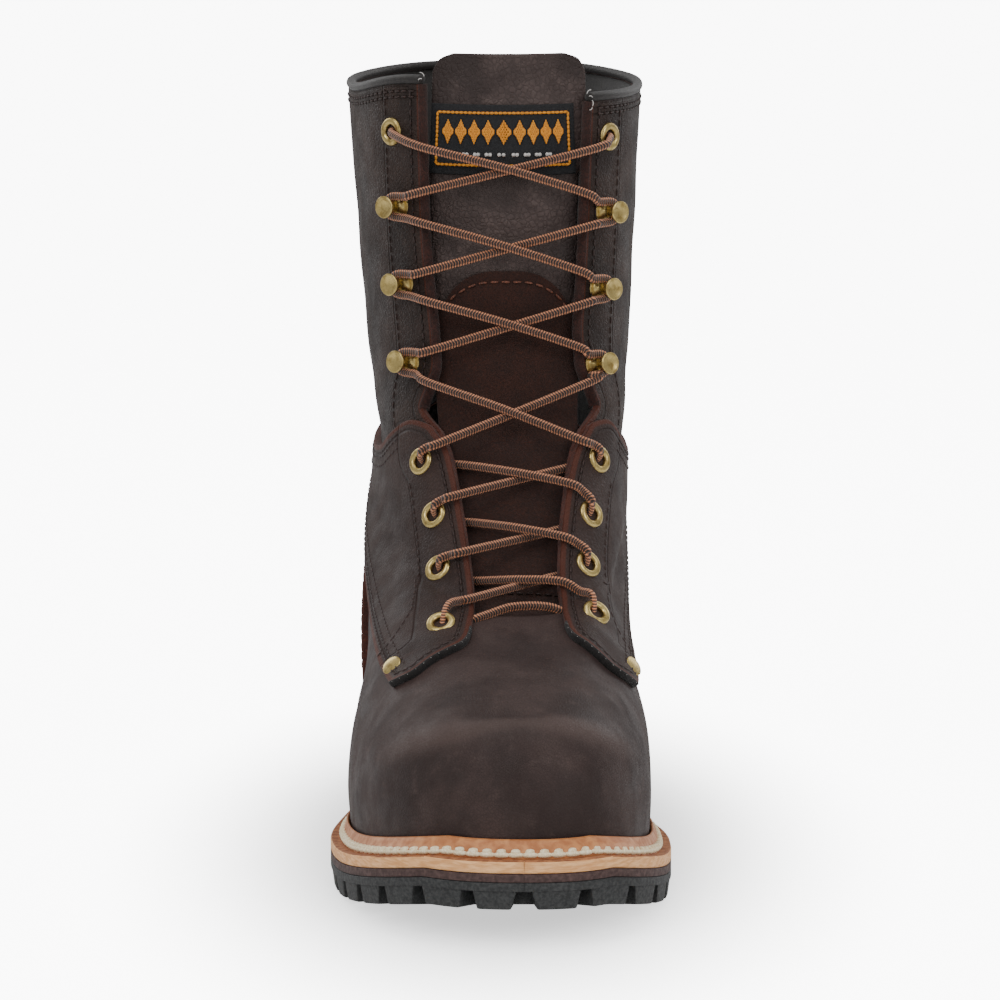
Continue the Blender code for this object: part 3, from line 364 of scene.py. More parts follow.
def span(tree, value, low, high, to_low=0.0, to_high=1.0):
    """A value that goes smoothly from to_low to to_high while another goes from low to high."""
    return node(tree, "MapRange", {0: value, 1: low, 2: high, 3: to_low, 4: to_high},
                interpolation_type="SMOOTHSTEP")


def blend(tree, share, first, second):
    return node(tree, "Mix", {0: share, 6: first, 7: second}, output=2, data_type="RGBA")


def maths(tree, how, first, second=0.0):
    return node(tree, "Math", {0: first, 1: second}, operation=how)


def measured(tree, name):
    """A number kept on the mesh's own corners, most of them in millimetres."""
    return node(tree, "Attribute", {}, output="Fac", attribute_name=name)


def bump(tree, height, size, strength=1.0, under=None):
    inputs = {"Height": height, "Distance": size, "Strength": strength}
    if under is not None:
        inputs["Normal"] = under
    return node(tree, "Bump", inputs)


print("material helpers are ready")

# %% [markdown]
# Oiled leather: a mottled colour, pebbled grain, pores, pale dust specks and a red-brown raw edge.
# Grooves run where the stitching pulls it down, with painted shade along them. Creases get a painted
# highlight on top and painted shade in their troughs.

# %% Leather
def groove(tree, name, centre, half):
    """1 on a line at a measured distance, falling to 0 at half that many millimetres off."""
    off = maths(tree, "ABSOLUTE", maths(tree, "SUBTRACT", measured(tree, name), centre))
    return span(tree, off, 0.0, half, 1.0, 0.0)


def leather(name, main, dark, pale, pebble, grain, grooves=(), rough=0.56, raw=0.9):
    """pebble sets how many domes the grain has, grain how high they are, and raw the cut edge."""
    paint, shader = new_paint(name, Specular_IOR_Level=0.20)
    tree = paint.node_tree
    cloud = noise(tree, 46.0, 4.0, 0.55)
    shade = blend(tree, span(tree, cloud, 0.34, 0.68), dark, main)
    rubbed = span(tree, noise(tree, 130.0, 5.0, 0.62), 0.52, 0.78)
    shade = blend(tree, maths(tree, "MULTIPLY", rubbed, 0.55), shade, pale)
    stray = node(tree, "TexNoise", {"Vector": place_of(tree), "Scale": 420.0}, output=1)
    warped = node(tree, "VectorMath", {0: stray, 1: (0.0016, 0.0016, 0.0016), 2: place_of(tree)},
                  operation="MULTIPLY_ADD")
    cells = node(tree, "TexVoronoi", {"Vector": warped, "Scale": pebble, "Randomness": 0.95},
                 feature="DISTANCE_TO_EDGE")
    domes = span(tree, cells, 0.0, 0.24)
    shade = blend(tree, span(tree, domes, 0.0, 0.7, 0.42, 0.0), shade, dark)
    dust = span(tree, noise(tree, 1700.0, 2.0, 0.4), 0.735, 0.79)
    shade = blend(tree, maths(tree, "MULTIPLY", dust, 0.35), shade, pale)
    ridge = bump(tree, domes, grain, 0.75)
    ridge = bump(tree, noise(tree, 2600.0, 3.0, 0.6), 0.00012, 0.55, ridge)
    ridge = bump(tree, noise(tree, 150.0, 3.0, 0.5), 0.0005, 0.25, ridge)
    for label, centre, half in grooves:
        dip = groove(tree, label, centre, half)
        ridge = bump(tree, maths(tree, "MULTIPLY", dip, -1.0), 0.0008, 0.8, ridge)
        # Painted shade: the colour darkens along the groove's line.
        shade = blend(tree, maths(tree, "MULTIPLY", dip, 0.55), shade, dark)
    if raw:
        worn = span(tree, measured(tree, "rim"), 1.3, 2.1, raw, 0.0)
        shade = blend(tree, worn, shade, colour(74, 38, 27))
    # Painted highlight where a crease lifts the leather, painted shade where it sinks.
    crease = measured(tree, "crease")
    shade = blend(tree, span(tree, crease, 0.15, 1.1, 0.0, 0.8), shade, pale)
    shade = blend(tree, span(tree, crease, -0.15, -1.1, 0.0, 0.75), shade, dark)
    tree.links.new(shade, shader.inputs["Base Color"])
    gloss = span(tree, noise(tree, 95.0, 4.0), 0.3, 0.7, rough - 0.05, rough + 0.12)
    tree.links.new(gloss, shader.inputs["Roughness"])
    tree.links.new(ridge, shader.inputs["Normal"])
    return paint


SHAFT_GROOVES = (("rim", 4.6, 0.7), ("facing", 19.5, 0.7), ("collar", 2.6, 0.6), ("collar", 4.6, 0.6))
QUARTER_GROOVES = (("rim", 3.6, 0.8), ("facing", 19.0, 0.8))
COUNTER_GROOVES = (("rim", 3.0, 0.8),)
OVERLAY = (colour(56, 42, 38), colour(42, 30, 27), colour(72, 55, 50), 760.0, 0.00013)
vamp_paint = leather("vamp_leather", colour(64, 51, 48), colour(46, 35, 33), colour(78, 64, 60),
                     980.0, 0.00008, raw=0.0)
shaft_paint = leather("shaft_leather", colour(56, 43, 38), colour(36, 27, 24), colour(72, 57, 51),
                      600.0, 0.00026, SHAFT_GROOVES)
quarter_paint = leather("quarter_leather", *OVERLAY, QUARTER_GROOVES)
counter_paint = leather("counter_leather", *OVERLAY, COUNTER_GROOVES)
tongue_paint = leather("tongue_leather", colour(80, 68, 65), colour(52, 43, 41), colour(98, 84, 80),
                       520.0, 0.00024, rough=0.52, raw=0.0)
print("leathers:", len([m for m in bpy.data.materials if "leather" in m.name]))

# %% Raw edges, suede, lining and binding
def fuzzy(name, main, dark, scale, depth, rough=0.9, sheen=0.3):
    """A matt fibrous surface: suede, felt, a raw cut edge or a lining."""
    paint, shader = new_paint(name, Roughness=rough, Sheen_Weight=sheen, Sheen_Roughness=0.6,
                              Specular_IOR_Level=0.2)
    tree = paint.node_tree
    nap = noise(tree, scale, 5.0, 0.7, 1.2)
    patchy = noise(tree, scale * 0.09, 3.0, 0.55)
    shade = blend(tree, span(tree, nap, 0.3, 0.72), dark, main)
    shade = blend(tree, span(tree, patchy, 0.35, 0.7, 0.45, 0.0), shade, dark)
    tree.links.new(shade, shader.inputs["Base Color"])
    tree.links.new(bump(tree, nap, depth, 0.8), shader.inputs["Normal"])
    return paint


raw_edge = fuzzy("raw_edge", colour(96, 44, 28), colour(44, 20, 13), 900.0, 0.0004, 0.75, 0.1)
dark_edge = fuzzy("dark_edge", colour(30, 25, 23), colour(10, 8, 8), 900.0, 0.0005, 0.6, 0.1)
shaft_edge = fuzzy("shaft_edge", colour(66, 32, 24), colour(30, 15, 11), 900.0, 0.0004, 0.75, 0.1)
suede = fuzzy("tongue_suede", colour(60, 29, 18), colour(30, 14, 9), 1300.0, 0.0005, 0.95, 0.12)
lining = fuzzy("lining", colour(44, 40, 37), colour(24, 22, 20), 1500.0, 0.0003, 0.95, 0.3)
insole_paint = fuzzy("insole_felt", colour(120, 100, 78), colour(84, 68, 52), 1500.0, 0.0004, 0.95, 0.3)
binding_paint = fuzzy("binding_leather", colour(42, 38, 36), colour(26, 23, 22), 620.0, 0.00025, 0.5, 0.1)
print("fuzzy surfaces: 7")

# %% Thread, brass, rubber and midsoles
def plain(name, main, dark, scale, rough, size=0.0002, metal=0.0, stretch=(1, 1, 1), mixed=(0.35, 0.7)):
    """One cloudy colour between two, with a roughness and a bump that follow the same cloud."""
    paint, shader = new_paint(name, Metallic=metal)
    tree = paint.node_tree
    where = node(tree, "Mapping", {"Vector": place_of(tree), "Scale": stretch})
    cloud = noise(tree, scale, 5.0, 0.6, 0.3, where)
    tree.links.new(blend(tree, span(tree, cloud, *mixed), dark, main), shader.inputs["Base Color"])
    tree.links.new(span(tree, cloud, 0.3, 0.7, rough + 0.12, rough - 0.05), shader.inputs["Roughness"])
    tree.links.new(bump(tree, cloud, size, 0.7), shader.inputs["Normal"])
    return paint


brown_thread = plain("brown_thread", colour(56, 28, 20), colour(22, 12, 9), 2200.0, 0.6)
cream_thread = plain("cream_thread", colour(255, 244, 214), colour(226, 204, 160), 1500.0, 0.65, 0.0003)
copper_thread = plain("copper_thread", colour(120, 66, 44), colour(62, 34, 24), 1500.0, 0.6)
orange_thread = plain("orange_thread", colour(236, 160, 40), colour(186, 112, 22), 3200.0, 0.55, 0.0003)
white_thread = plain("white_thread", colour(226, 224, 220), colour(168, 164, 160), 3200.0, 0.6, 0.0003)
patch_cloth = plain("patch_cloth", colour(30, 31, 34), colour(16, 16, 18), 3800.0, 0.85, 0.0003)
brass = plain("antique_brass", colour(194, 172, 112), colour(132, 110, 62), 420.0, 0.30, 0.00003, 1.0,
              mixed=(0.25, 0.6))
rubber = plain("rubber", colour(56, 57, 57), colour(38, 39, 39), 900.0, 0.72, 0.00012)
tan_side = plain("tan_midsole", colour(246, 192, 134), colour(214, 152, 96), 190.0, 0.6,
                 stretch=(1, 1, 6))
tan_top = plain("midsole_top", colour(176, 112, 66), colour(128, 76, 44), 420.0, 0.7, 0.0003)
brown_side = plain("brown_midsole", colour(82, 60, 56), colour(60, 43, 40), 700.0, 0.75, 0.00015)
welt_paint = plain("welt_leather", colour(198, 132, 78), colour(164, 98, 52), 240.0, 0.46, 0.00012)
print("materials:", len(bpy.data.materials))

# %% [markdown]
# Creases, dents and the box toe's edge. Each row: three places as level and degrees, then the
# width in millimetres and the height, below zero for a trough.

# %% Creases
CREASES = (
    # the edge of the stiff toe, an arch across the vamp
    ((0.138, 44.0), (0.206, 22.0), (0.252, 2.0), 6.5, 1.10),
    ((0.256, 6.0), (0.236, -12.0), (0.140, -42.0), 6.5, 1.10),
    ((0.262, 14.0), (0.272, 4.0), (0.262, -6.0), 5.0, -1.00),
    ((0.225, 34.0), (0.262, 22.0), (0.292, 8.0), 6.0, 0.45),
    # the foot's bend behind it
    ((0.430, 24.0), (0.415, 4.0), (0.425, -20.0), 8.0, -1.00),
    ((0.400, 22.0), (0.392, 0.0), (0.400, -22.0), 8.0, 0.30),
    ((0.150, 74.0), (0.235, 64.0), (0.300, 58.0), 5.0, -0.40),
    ((0.140, -80.0), (0.215, -72.0), (0.260, -66.0), 5.0, -0.40),
    # the ankle
    ((0.640, 60.0), (0.600, 92.0), (0.560, 120.0), 7.0, -0.70),
    ((0.610, 74.0), (0.570, 104.0), (0.530, 132.0), 8.0, 0.50),
    ((0.645, -62.0), (0.600, -96.0), (0.565, -124.0), 7.0, -0.70),
    ((0.615, -74.0), (0.575, -106.0), (0.535, -132.0), 8.0, 0.50),
    ((0.735, 52.0), (0.705, 78.0), (0.670, 104.0), 7.0, -0.55),
    ((0.740, -52.0), (0.705, -80.0), (0.675, -106.0), 7.0, -0.55),
    ((0.640, 158.0), (0.628, 180.0), (0.640, 202.0), 6.0, -0.70),
    ((0.690, 156.0), (0.680, 180.0), (0.690, 204.0), 8.0, -0.50),
    # the shaft
    ((0.800, 60.0), (0.790, 84.0), (0.765, 110.0), 9.0, -0.45),
    ((0.880, -58.0), (0.850, -84.0), (0.830, -112.0), 10.0, -0.45),
    ((0.900, 70.0), (0.880, 96.0), (0.885, 120.0), 9.0, -0.35),
    ((0.960, -120.0), (0.930, -90.0), (0.935, -66.0), 10.0, -0.30),
)


def crease_lift(points):
    """How far the creases lift each point, in metres."""
    total = np.zeros(points.shape[:-1])
    for first, middle, last, width, height in CREASES:
        first, middle, last = (np.array(place) for place in (first, middle, last))
        along = np.linspace(0, 1, 22)[:, None]
        pull = (2 * middle - (first + last) / 2) * 2
        curve = first * (1 - along) ** 2 + pull * along * (1 - along) + last * along**2
        line = last_point(curve[:, 0], np.radians(curve[:, 1]))
        strength = np.zeros(points.shape[:-1])
        for place, share in zip(line, along[:, 0]):
            near = np.exp(-np.sum((points - place) ** 2, axis=-1) / (width / 1000) ** 2)
            strength = np.maximum(strength, near * math.sin(math.pi * (0.06 + 0.88 * share)) ** 0.7)
        total += strength * height / 1000
    return total


def skin(level, angle, lift=0.0):
    """A point off the upper's creased outside, and the outward direction there."""
    place, outward = bare_skin(level, angle)
    raised = crease_lift(place) + lift
    return place + outward * raised[..., None], outward


print("creases:", len(CREASES))

# %% [markdown]
# Lines on the surface. A line is two lists, its levels and its angles in radians.

# %% Lines on the surface
def spline(a, b, c, d, u):
    """The smooth curve from b to c, where a comes before and d after. u runs from 0 to 1."""
    bend, twist = 2 * a - 5 * b + 4 * c - d, 3 * b - a - 3 * c + d
    return 0.5 * (2 * b + (c - a) * u + bend * u**2 + twist * u**3)


def with_ends(corners):
    """The corners, with one more before the first and one after the last."""
    return np.vstack((2 * corners[0] - corners[1], corners, 2 * corners[-1] - corners[-2]))


def line_through(corners, count, side=1):
    """A smooth line through (level, degrees) corners, evenly spaced along its length."""
    corners = np.array(corners, float)
    padded = with_ends(corners)
    fine = []
    for k in range(len(corners) - 1):
        u = np.linspace(0, 1, 24, endpoint=k == len(corners) - 2)[:, None]
        fine.append(spline(*padded[k : k + 4], u))
    fine = np.vstack(fine)
    level, angle = fine[:, 0], np.radians(fine[:, 1]) * side
    return respace(level, angle, count)


def lengths_along(points):
    steps = np.linalg.norm(np.diff(points, axis=0), axis=1)
    return np.concatenate(((0.0,), np.cumsum(steps)))


def respace(level, angle, count):
    far = lengths_along(last_point(level, angle))
    even = np.linspace(0, far[-1], count)
    return np.interp(even, far, level), np.interp(even, far, angle)


def step_aside(level, angle, inset):
    """The same line moved over the surface, to the left of its travel seen from outside."""
    place, outward = bare_skin(level, angle)
    travel = unit(np.gradient(place, axis=0))
    target = place + unit(np.cross(outward, travel)) * inset
    h = 0.002
    for _ in range(4):
        here = last_point(level, angle)
        up = (last_point(level + h, angle) - here) / h
        round_it = (last_point(level, angle + h) - here) / h
        miss = target - here
        a, b, c = (np.sum(up * up, -1), np.sum(up * round_it, -1), np.sum(round_it * round_it, -1))
        r, s = np.sum(up * miss, -1), np.sum(round_it * miss, -1)
        under = a * c - b * b
        level = level + (r * c - s * b) / under
        angle = angle + (s * a - r * b) / under
    return level, angle


print("lines on the surface are ready")

# %% Distances and filled outlines
def distance_to(points, line):
    """Distance in millimetres from each point to a line of points."""
    nearest = np.full(points.shape[:-1], np.inf)
    for a, b in zip(line, line[1:]):
        way = b - a
        share = np.clip((points - a) @ way / max(way @ way, 1e-12), 0, 1)
        gap = points - a - share[..., None] * way
        nearest = np.minimum(nearest, np.sum(gap * gap, axis=-1))
    return np.sqrt(nearest) * 1000


def coons(bottom, top, left, right, across, up):
    """Levels and angles that fill four border lines. across and up run from 0 to 1."""
    def at(line, share):
        spots = np.linspace(0, 1, len(line[0]))
        return np.stack((np.interp(share, spots, line[0]), np.interp(share, spots, line[1])), -1)
    s, t = np.meshgrid(across, up)
    s3, t3 = s[..., None], t[..., None]
    low, high = at(bottom, across)[None], at(top, across)[None]
    first, last = at(left, up)[:, None], at(right, up)[:, None]
    low_corners = low[:, :1] * (1 - s3) + low[:, -1:] * s3
    high_corners = high[:, :1] * (1 - s3) + high[:, -1:] * s3
    corners = low_corners * (1 - t3) + high_corners * t3
    filled = low * (1 - t3) + high * t3 + first * (1 - s3) + last * s3 - corners
    return filled[..., 0], filled[..., 1]


def crowded(count, near_start=0.0, near_end=0.0):
    """Shares from 0 to 1, with a few extra ones just inside either end for a rounded border."""
    shares = list(np.linspace(0, 1, count))
    for part in (0.12, 0.35, 0.7, 1.0):
        if near_start:
            shares.append(near_start * part)
        if near_end:
            shares.append(1 - near_end * part)
    return np.unique(np.round(shares, 6))


print("filled outlines are ready")

# %% [markdown]
# A panel is a grid laid on the surface. Its border is turned down, which shows its cut edge.

# %% Panels
def new_piece(name, bm, *paints):
    mesh = bpy.data.meshes.new(name)
    bm.to_mesh(mesh)
    bm.free()
    for paint in paints:
        mesh.materials.append(paint)
    mesh.shade_smooth()
    made = bpy.data.objects.new(name, mesh)
    scene.collection.objects.link(made)
    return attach(made, "root")


def weld(bm, near):
    """Merge corners that lie nearer than this."""
    welded = bmesh.ops.find_doubles(bm, verts=bm.verts, dist=near)
    bmesh.ops.weld_verts(bm, targetmap=welded["targetmap"])


def fill_ends(bm):
    """Close a tube's open ends with one face each."""
    borders = [edge for edge in bm.edges if edge.is_boundary]
    bmesh.ops.holes_fill(bm, edges=borders, sides=0)


def grid_mesh(points, outward, measures=None):
    """A grid of faces through rows and columns of points, facing outward."""
    rows, columns = points.shape[:2]
    bm = bmesh.new()
    bmesh.ops.create_grid(bm, x_segments=columns - 1, y_segments=rows - 1, size=1.0)
    for vert, place in zip(bm.verts, points.reshape(-1, 3)):
        vert.co = place
    for label, values in (measures or {}).items():
        layer = bm.verts.layers.float.new(label)
        for vert, value in zip(bm.verts, np.asarray(values).ravel()):
            vert[layer] = value
    bm.normal_update()
    bm.faces.ensure_lookup_table()
    facing = sum(
        bm.faces[k].normal.dot(Vector(outward[k // (columns - 1), k % (columns - 1)]))
        for k in range(0, len(bm.faces), max(1, len(bm.faces) // 50))
    )
    if facing < 0:
        bmesh.ops.reverse_faces(bm, faces=bm.faces)
    return bm


def panel(name, points, outward, fall, paint, edge_paint, measures=None, closed=False):
    """A sheet whose open borders are turned down by fall metres."""
    bm = grid_mesh(points, outward, measures)
    bm.verts.ensure_lookup_table()
    down = {vert: Vector(way) for vert, way in zip(bm.verts, outward.reshape(-1, 3))}
    if closed:
        weld(bm, 0.00001)
    borders = [edge for edge in bm.edges if edge.is_boundary]
    made = bmesh.ops.extrude_edge_only(bm, edges=borders)["geom"]
    for item in made:
        if isinstance(item, bmesh.types.BMFace):
            item.material_index = 1
    for vert in [item for item in made if isinstance(item, bmesh.types.BMVert)]:
        source = next(edge.other_vert(vert) for edge in vert.link_edges if edge.other_vert(vert) in down)
        vert.co = vert.co - down[source] * fall
    return new_piece(name, bm, paint, edge_paint)


def rounded(rim, thick, radius):
    """Thickness near a border: full inside, falling in a quarter circle over the last stretch."""
    into = np.clip(rim / 1000 / radius, 0, 1)
    return thick - radius * (1 - np.sqrt(np.maximum(0.0, 1 - (1 - into) ** 2)))


print("panels are ready")

# %% [markdown]
# The vamp covers the foot, from the sole to the throat, and passes under the quarters and the
# counter. Its top edge shows between the facings.

# %% Vamp
THROAT_FLOOR_LEVEL = 0.48
THROAT_ARCH = 0.033


def throat(level, side):
    """The facing edge of the upper in radians: side 1 is the outer one, -1 the inner one."""
    sides = np.radians(smooth_look_up(THROAT, level))
    return sides[..., 0] if side > 0 else -sides[..., 1]


def vamp_grid():
    share = np.linspace(-1, 1, 421)
    turn = math.pi * np.sign(share) * np.abs(share) ** 0.92
    level, angle = np.meshgrid(np.linspace(0, 1, 104), turn, indexing="ij")
    degrees = np.abs(np.degrees(angle))
    narrower = np.where(angle >= 0, 1.0, 0.93)
    arch = np.cos(np.clip(degrees / 23.0 * narrower, 0, 1) * math.pi / 2) ** 0.8
    top = THROAT_FLOOR_LEVEL + 0.02 + (THROAT_ARCH - 0.02) * arch
    return level * top, angle


level, angle = vamp_grid()
points, outward = skin(level, angle)
rim = (level[-1:] - level) / THROAT_FLOOR_LEVEL * 105.0
points += outward * rounded(rim, 0.0, 0.0008)[..., None]
vamp = panel("vamp", points, outward, UPPER_WALL * 0.9, vamp_paint, raw_edge,
             {"rim": rim, "crease": crease_lift(points) * 1000}, closed=True)
print("vamp:", len(vamp.data.polygons), "faces")

# %% Shaft
def facing_line(side, low, high, count=160):
    """The shaft's own front edge as a line of levels and angles."""
    level = np.linspace(low, high, count)
    angle = throat(level, side)
    return level + collar_lift(level, angle), angle


def shaft_grid():
    across = crowded(250, 0.0045, 0.0045)
    up = crowded(140, 0.0, 0.006)
    level = 0.49 + 0.51 * up
    s, level = np.meshgrid(across, level)
    outer, inner = throat(level, 1), throat(level, -1)
    angle = outer + (2 * math.pi + inner - outer) * s
    return level + collar_lift(level, angle), angle


level, angle = shaft_grid()
points, outward = skin(level, angle)
edges = [last_point(*facing_line(side, 0.49, 1.0)) for side in (1, -1)]
facing = np.minimum(*(distance_to(points, edge) for edge in edges))
collar = distance_to(points, last_point(level[-1], angle[-1]))
rim = np.minimum(facing, collar + 4.0)
points += outward * rounded(np.minimum(facing, collar), 0.0, 0.0007)[..., None]
# The crease number is halved, so that the shaft's creases get less painted highlight and shade than the vamp's.
shaft = panel("shaft", points, outward, UPPER_WALL, shaft_paint, raw_edge,
              {"rim": rim, "facing": facing, "collar": collar, "crease": crease_lift(points) * 500})
print("shaft:", len(shaft.data.polygons), "faces")

# %% Lining and insole
up = np.linspace(0.0, 1.0, 90)
across = np.linspace(0, 1, 120)
s, level = np.meshgrid(across, up)
outer, inner = throat(level, 1) + 0.004, throat(level, -1) - 0.004
angle = outer + (2 * math.pi + inner - outer) * s
level = level + collar_lift(level, angle)
place, outward = skin(level, angle, -UPPER_WALL)
lining_piece = new_piece("lining", grid_mesh(place, -outward), lining)
front_turn = np.radians(np.linspace(-30, 30, 50))
level, angle = np.meshgrid(np.linspace(0.002, 0.51, 60), front_turn, indexing="ij")
place, outward = skin(level, angle, -UPPER_WALL)
front_lining = new_piece("toe_lining", grid_mesh(place, -outward), lining)

turn = np.radians(np.linspace(0.5, 179.5, 160))
inside = UPPER_WALL + FIT + GAP
left, right = last_point(0.0, turn, -inside), last_point(0.0, -turn, -inside)
wide = np.linspace(0, 1, 30)[None, :, None]
sheet = left[:, None] * (1 - wide) + right[:, None] * wide
sheet[..., 2] += INSOLE_WALL + 0.0006 * np.sin(math.pi * wide[..., 0])
upward = np.broadcast_to((0.0, 0.0, 1.0), sheet.shape)
felt = new_piece("insole_sheet", grid_mesh(sheet, upward), insole_paint)
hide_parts("insole")
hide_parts("upper")
print("lining and insole done")

# %% [markdown]
# The quarters lie over the vamp and the shaft. Each is filled in between four border lines: the
# lower edge, the top edge, the facing with the tab's underside, and the back.

# %% Quarter borders
QUARTER_LOW = {
    1: ((0.262, 49.5), (0.268, 56.0), (0.288, 75.0), (0.330, 98.0), (0.405, 115.0), (0.462, 138.0),
        (0.488, 179.6)),
    -1: ((0.240, 57.5), (0.238, 62.0), (0.262, 78.0), (0.312, 98.0), (0.402, 115.0), (0.462, 138.0),
         (0.488, 179.6)),
}
QUARTER_TOP = {
    1: ((0.690, 29.6), (0.697, 33.5), (0.693, 44.0), (0.662, 59.0), (0.622, 75.0), (0.578, 98.0),
        (0.558, 125.0), (0.548, 179.6)),
    -1: ((0.690, 32.4), (0.697, 36.0), (0.690, 47.0), (0.656, 60.0), (0.620, 75.0), (0.578, 98.0),
         (0.558, 125.0), (0.548, 179.6)),
}
QUARTER_FACING = {
    1: ((0.262, 49.5), (0.300, 43.5), (0.350, 37.1), (0.386, 30.6), (0.415, 24.6), (0.440, 21.6),
        (0.490, 19.7), (0.540, 19.0), (0.607, 21.5), (0.652, 23.2), (0.678, 25.4), (0.690, 29.6)),
    -1: ((0.240, 57.5), (0.285, 50.5), (0.349, 41.9), (0.392, 34.8), (0.424, 28.0), (0.450, 24.4),
         (0.490, 21.9), (0.545, 19.0), (0.590, 20.3), (0.645, 23.6), (0.676, 27.4), (0.690, 32.4)),
}


def quarter_lines(side):
    """Its low, top, front and back borders."""
    low = line_through(QUARTER_LOW[side], 220, side)
    top = line_through(QUARTER_TOP[side], 220, side)
    front = line_through(QUARTER_FACING[side], 200, side)
    back = (np.linspace(low[0][-1], top[0][-1], 40), np.full(40, math.radians(179.6) * side))
    return low, top, front, back


quarters = {}
for side, name in ((1, "outer"), (-1, "inner")):
    low, top, front, back = quarter_lines(side)
    level, angle = coons(low, top, front, back, crowded(200, 0.004), crowded(110, 0.008, 0.008))
    points, outward = skin(level, angle)
    facing = distance_to(points, last_point(*front))
    rim = np.minimum(facing, distance_to(points, last_point(*low)))
    rim = np.minimum(rim, distance_to(points, last_point(*top)))
    lift = QUARTER_LIFT * (1 - 0.45 * ease((np.abs(np.degrees(angle)) - 150) / 30))
    points += outward * rounded(rim, lift, 0.0007)[..., None]
    piece = panel(f"quarter_{name}_panel", points, outward, OVERLAY_WALL + FIT, quarter_paint, raw_edge,
                  {"rim": rim, "facing": facing})
    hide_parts(f"quarter_{name}")
    quarters[side] = (low, top, front)
    print(piece.name, len(piece.data.polygons), "faces")

# %% Counter
COUNTER_TOP = ((0.100, -84.0), (0.270, -76.0), (0.375, -65.0), (0.440, -42.0), (0.464, -25.0), (0.472, 0.0),
               (0.464, 25.0), (0.440, 42.0), (0.375, 65.0), (0.270, 76.0), (0.100, 84.0))
top = line_through(COUNTER_TOP, 200)
top = (top[0], top[1] + math.pi)
low = (np.full(200, 0.012), top[1])
first = (np.linspace(low[0][0], top[0][0], 20), np.full(20, top[1][0]))
last = (np.linspace(low[0][-1], top[0][-1], 20), np.full(20, top[1][-1]))
level, angle = coons(low, top, first, last, crowded(160, 0.004, 0.004), crowded(80, 0.0, 0.01))
points, outward = skin(level, angle)
rim = np.minimum(distance_to(points, last_point(*top)), distance_to(points, last_point(*first)))
rim = np.minimum(rim, distance_to(points, last_point(*last)))
points += outward * rounded(rim, QUARTER_LIFT, 0.0007)[..., None]
counter = panel("counter_panel", points, outward, OVERLAY_WALL + FIT, counter_paint, raw_edge, {"rim": rim})
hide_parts("heel_counter")
counter_top = top
print("counter:", len(counter.data.polygons), "faces")

# %% [markdown]
# The tongue is grained leather above and suede below, with an arched, stitched top to the suede.

# %% Tongue
def tongue_bulges(level, across):
    """Soft waves across the tongue, in metres."""
    waves = (
        (0.985, 0.030, -0.0008), (0.925, 0.020, 0.0007), (0.885, 0.014, -0.0011),
        (0.850, 0.016, 0.0006), (0.800, 0.014, -0.0007), (0.760, 0.018, 0.0006),
        (0.700, 0.016, -0.0006), (0.640, 0.020, 0.0005),
    )
    total = np.zeros(np.broadcast(level, across).shape)
    for middle, half, height in waves:
        bent = level - middle - 0.012 * across**2
        total += height * np.exp(-((bent / half) ** 2)) * (1 - 0.5 * across**2)
    return total


def on_tongue(level, across, lift):
    return tongue_point(level, across, -(tongue_bulges(level, across) + lift))


def tongue_spread(level, across):
    """The tongue's top spreads on the inner side."""
    return 1 + 0.17 * (across > 0) * ease((level - 0.93) / 0.05)


def suede_top(share):
    """The level where the suede ends, at a share from -1 to 1 of its width."""
    corner = np.clip((np.abs(share) - 0.82) / 0.18, 0, 1) ** 2
    return SUEDE_TOP - 0.030 * np.abs(share) ** 3.2 - 0.022 * corner


def suede_width(level):
    return 0.985 - 0.32 * ease((level - 0.785) / 0.09)


TONGUE_FOOT, TONGUE_TOP = 0.452, 1.064
SUEDE_TOP = 0.8600
up = crowded(300, 0.01, 0.01)
across = 2 * crowded(110, 0.01, 0.01) - 1
level, across = np.meshgrid(TONGUE_FOOT + (TONGUE_TOP - TONGUE_FOOT) * up, across, indexing="ij")
spread = tongue_spread(level, across)
points, outward = on_tongue(level, across * spread, 0.0)
border = np.minimum(1 - np.abs(across), (TONGUE_TOP - level) * 6)
rim = np.abs(border) * 22.0
points += outward * rounded(rim, 0.0, 0.0010)[..., None]
tongue = panel("tongue_leather_panel", points, outward, TONGUE_WALL, tongue_paint, raw_edge,
               {"rim": np.minimum(rim, 20.0)})
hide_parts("tongue")

share, t = np.meshgrid(crowded(90, 0.02, 0.02) * 2 - 1, crowded(150, 0.0, 0.012))
level = TONGUE_FOOT + (suede_top(share) - TONGUE_FOOT) * t
points, outward = on_tongue(level, share * suede_width(level), 0.0012)
near = np.minimum((1 - t) * 110.0, (1 - np.abs(share)) * 24.0)
points += outward * rounded(near, 0.0, 0.0006)[..., None]
suede_piece = panel("tongue_suede_panel", points, outward, 0.0016, suede, dark_edge, {"rim": near})
print("tongue:", len(tongue.data.polygons), "suede:", len(suede_piece.data.polygons))

# %% [markdown]
# A strip is a ribbon or a cord swept along a line of points, with a section given as offsets
# across the line and away from the surface.

# %% Swept strips
def sweep(name, points, outward, section, paint):
    """Sweep a closed section of (aside, away) offsets along a line."""
    travel = unit(np.gradient(points, axis=0))
    side = unit(np.cross(outward, travel))
    away = unit(np.cross(travel, side))
    ring = points[:, None] + side[:, None] * section[..., :1] + away[:, None] * section[..., 1:]
    ring = np.concatenate((ring, ring[:, :1]), axis=1)
    middle = ring.mean(axis=1, keepdims=True)
    bm = grid_mesh(ring, unit(ring - middle))
    weld(bm, 0.000001)
    fill_ends(bm)
    return new_piece(name, bm, paint)


def oval(wide, thick, count=12, away=0.0):
    turn = np.linspace(0, 2 * math.pi, count, endpoint=False)
    return np.stack((np.cos(turn) * wide / 2, np.sin(turn) * thick / 2 + away), axis=-1)


def join(name, pieces):
    """Joined meshes count as one piece."""
    bm = bmesh.new()
    for piece in pieces:
        bm.from_mesh(piece.data)
        paint = piece.data.materials[0]
        bpy.data.objects.remove(piece)
    return new_piece(name, bm, paint)


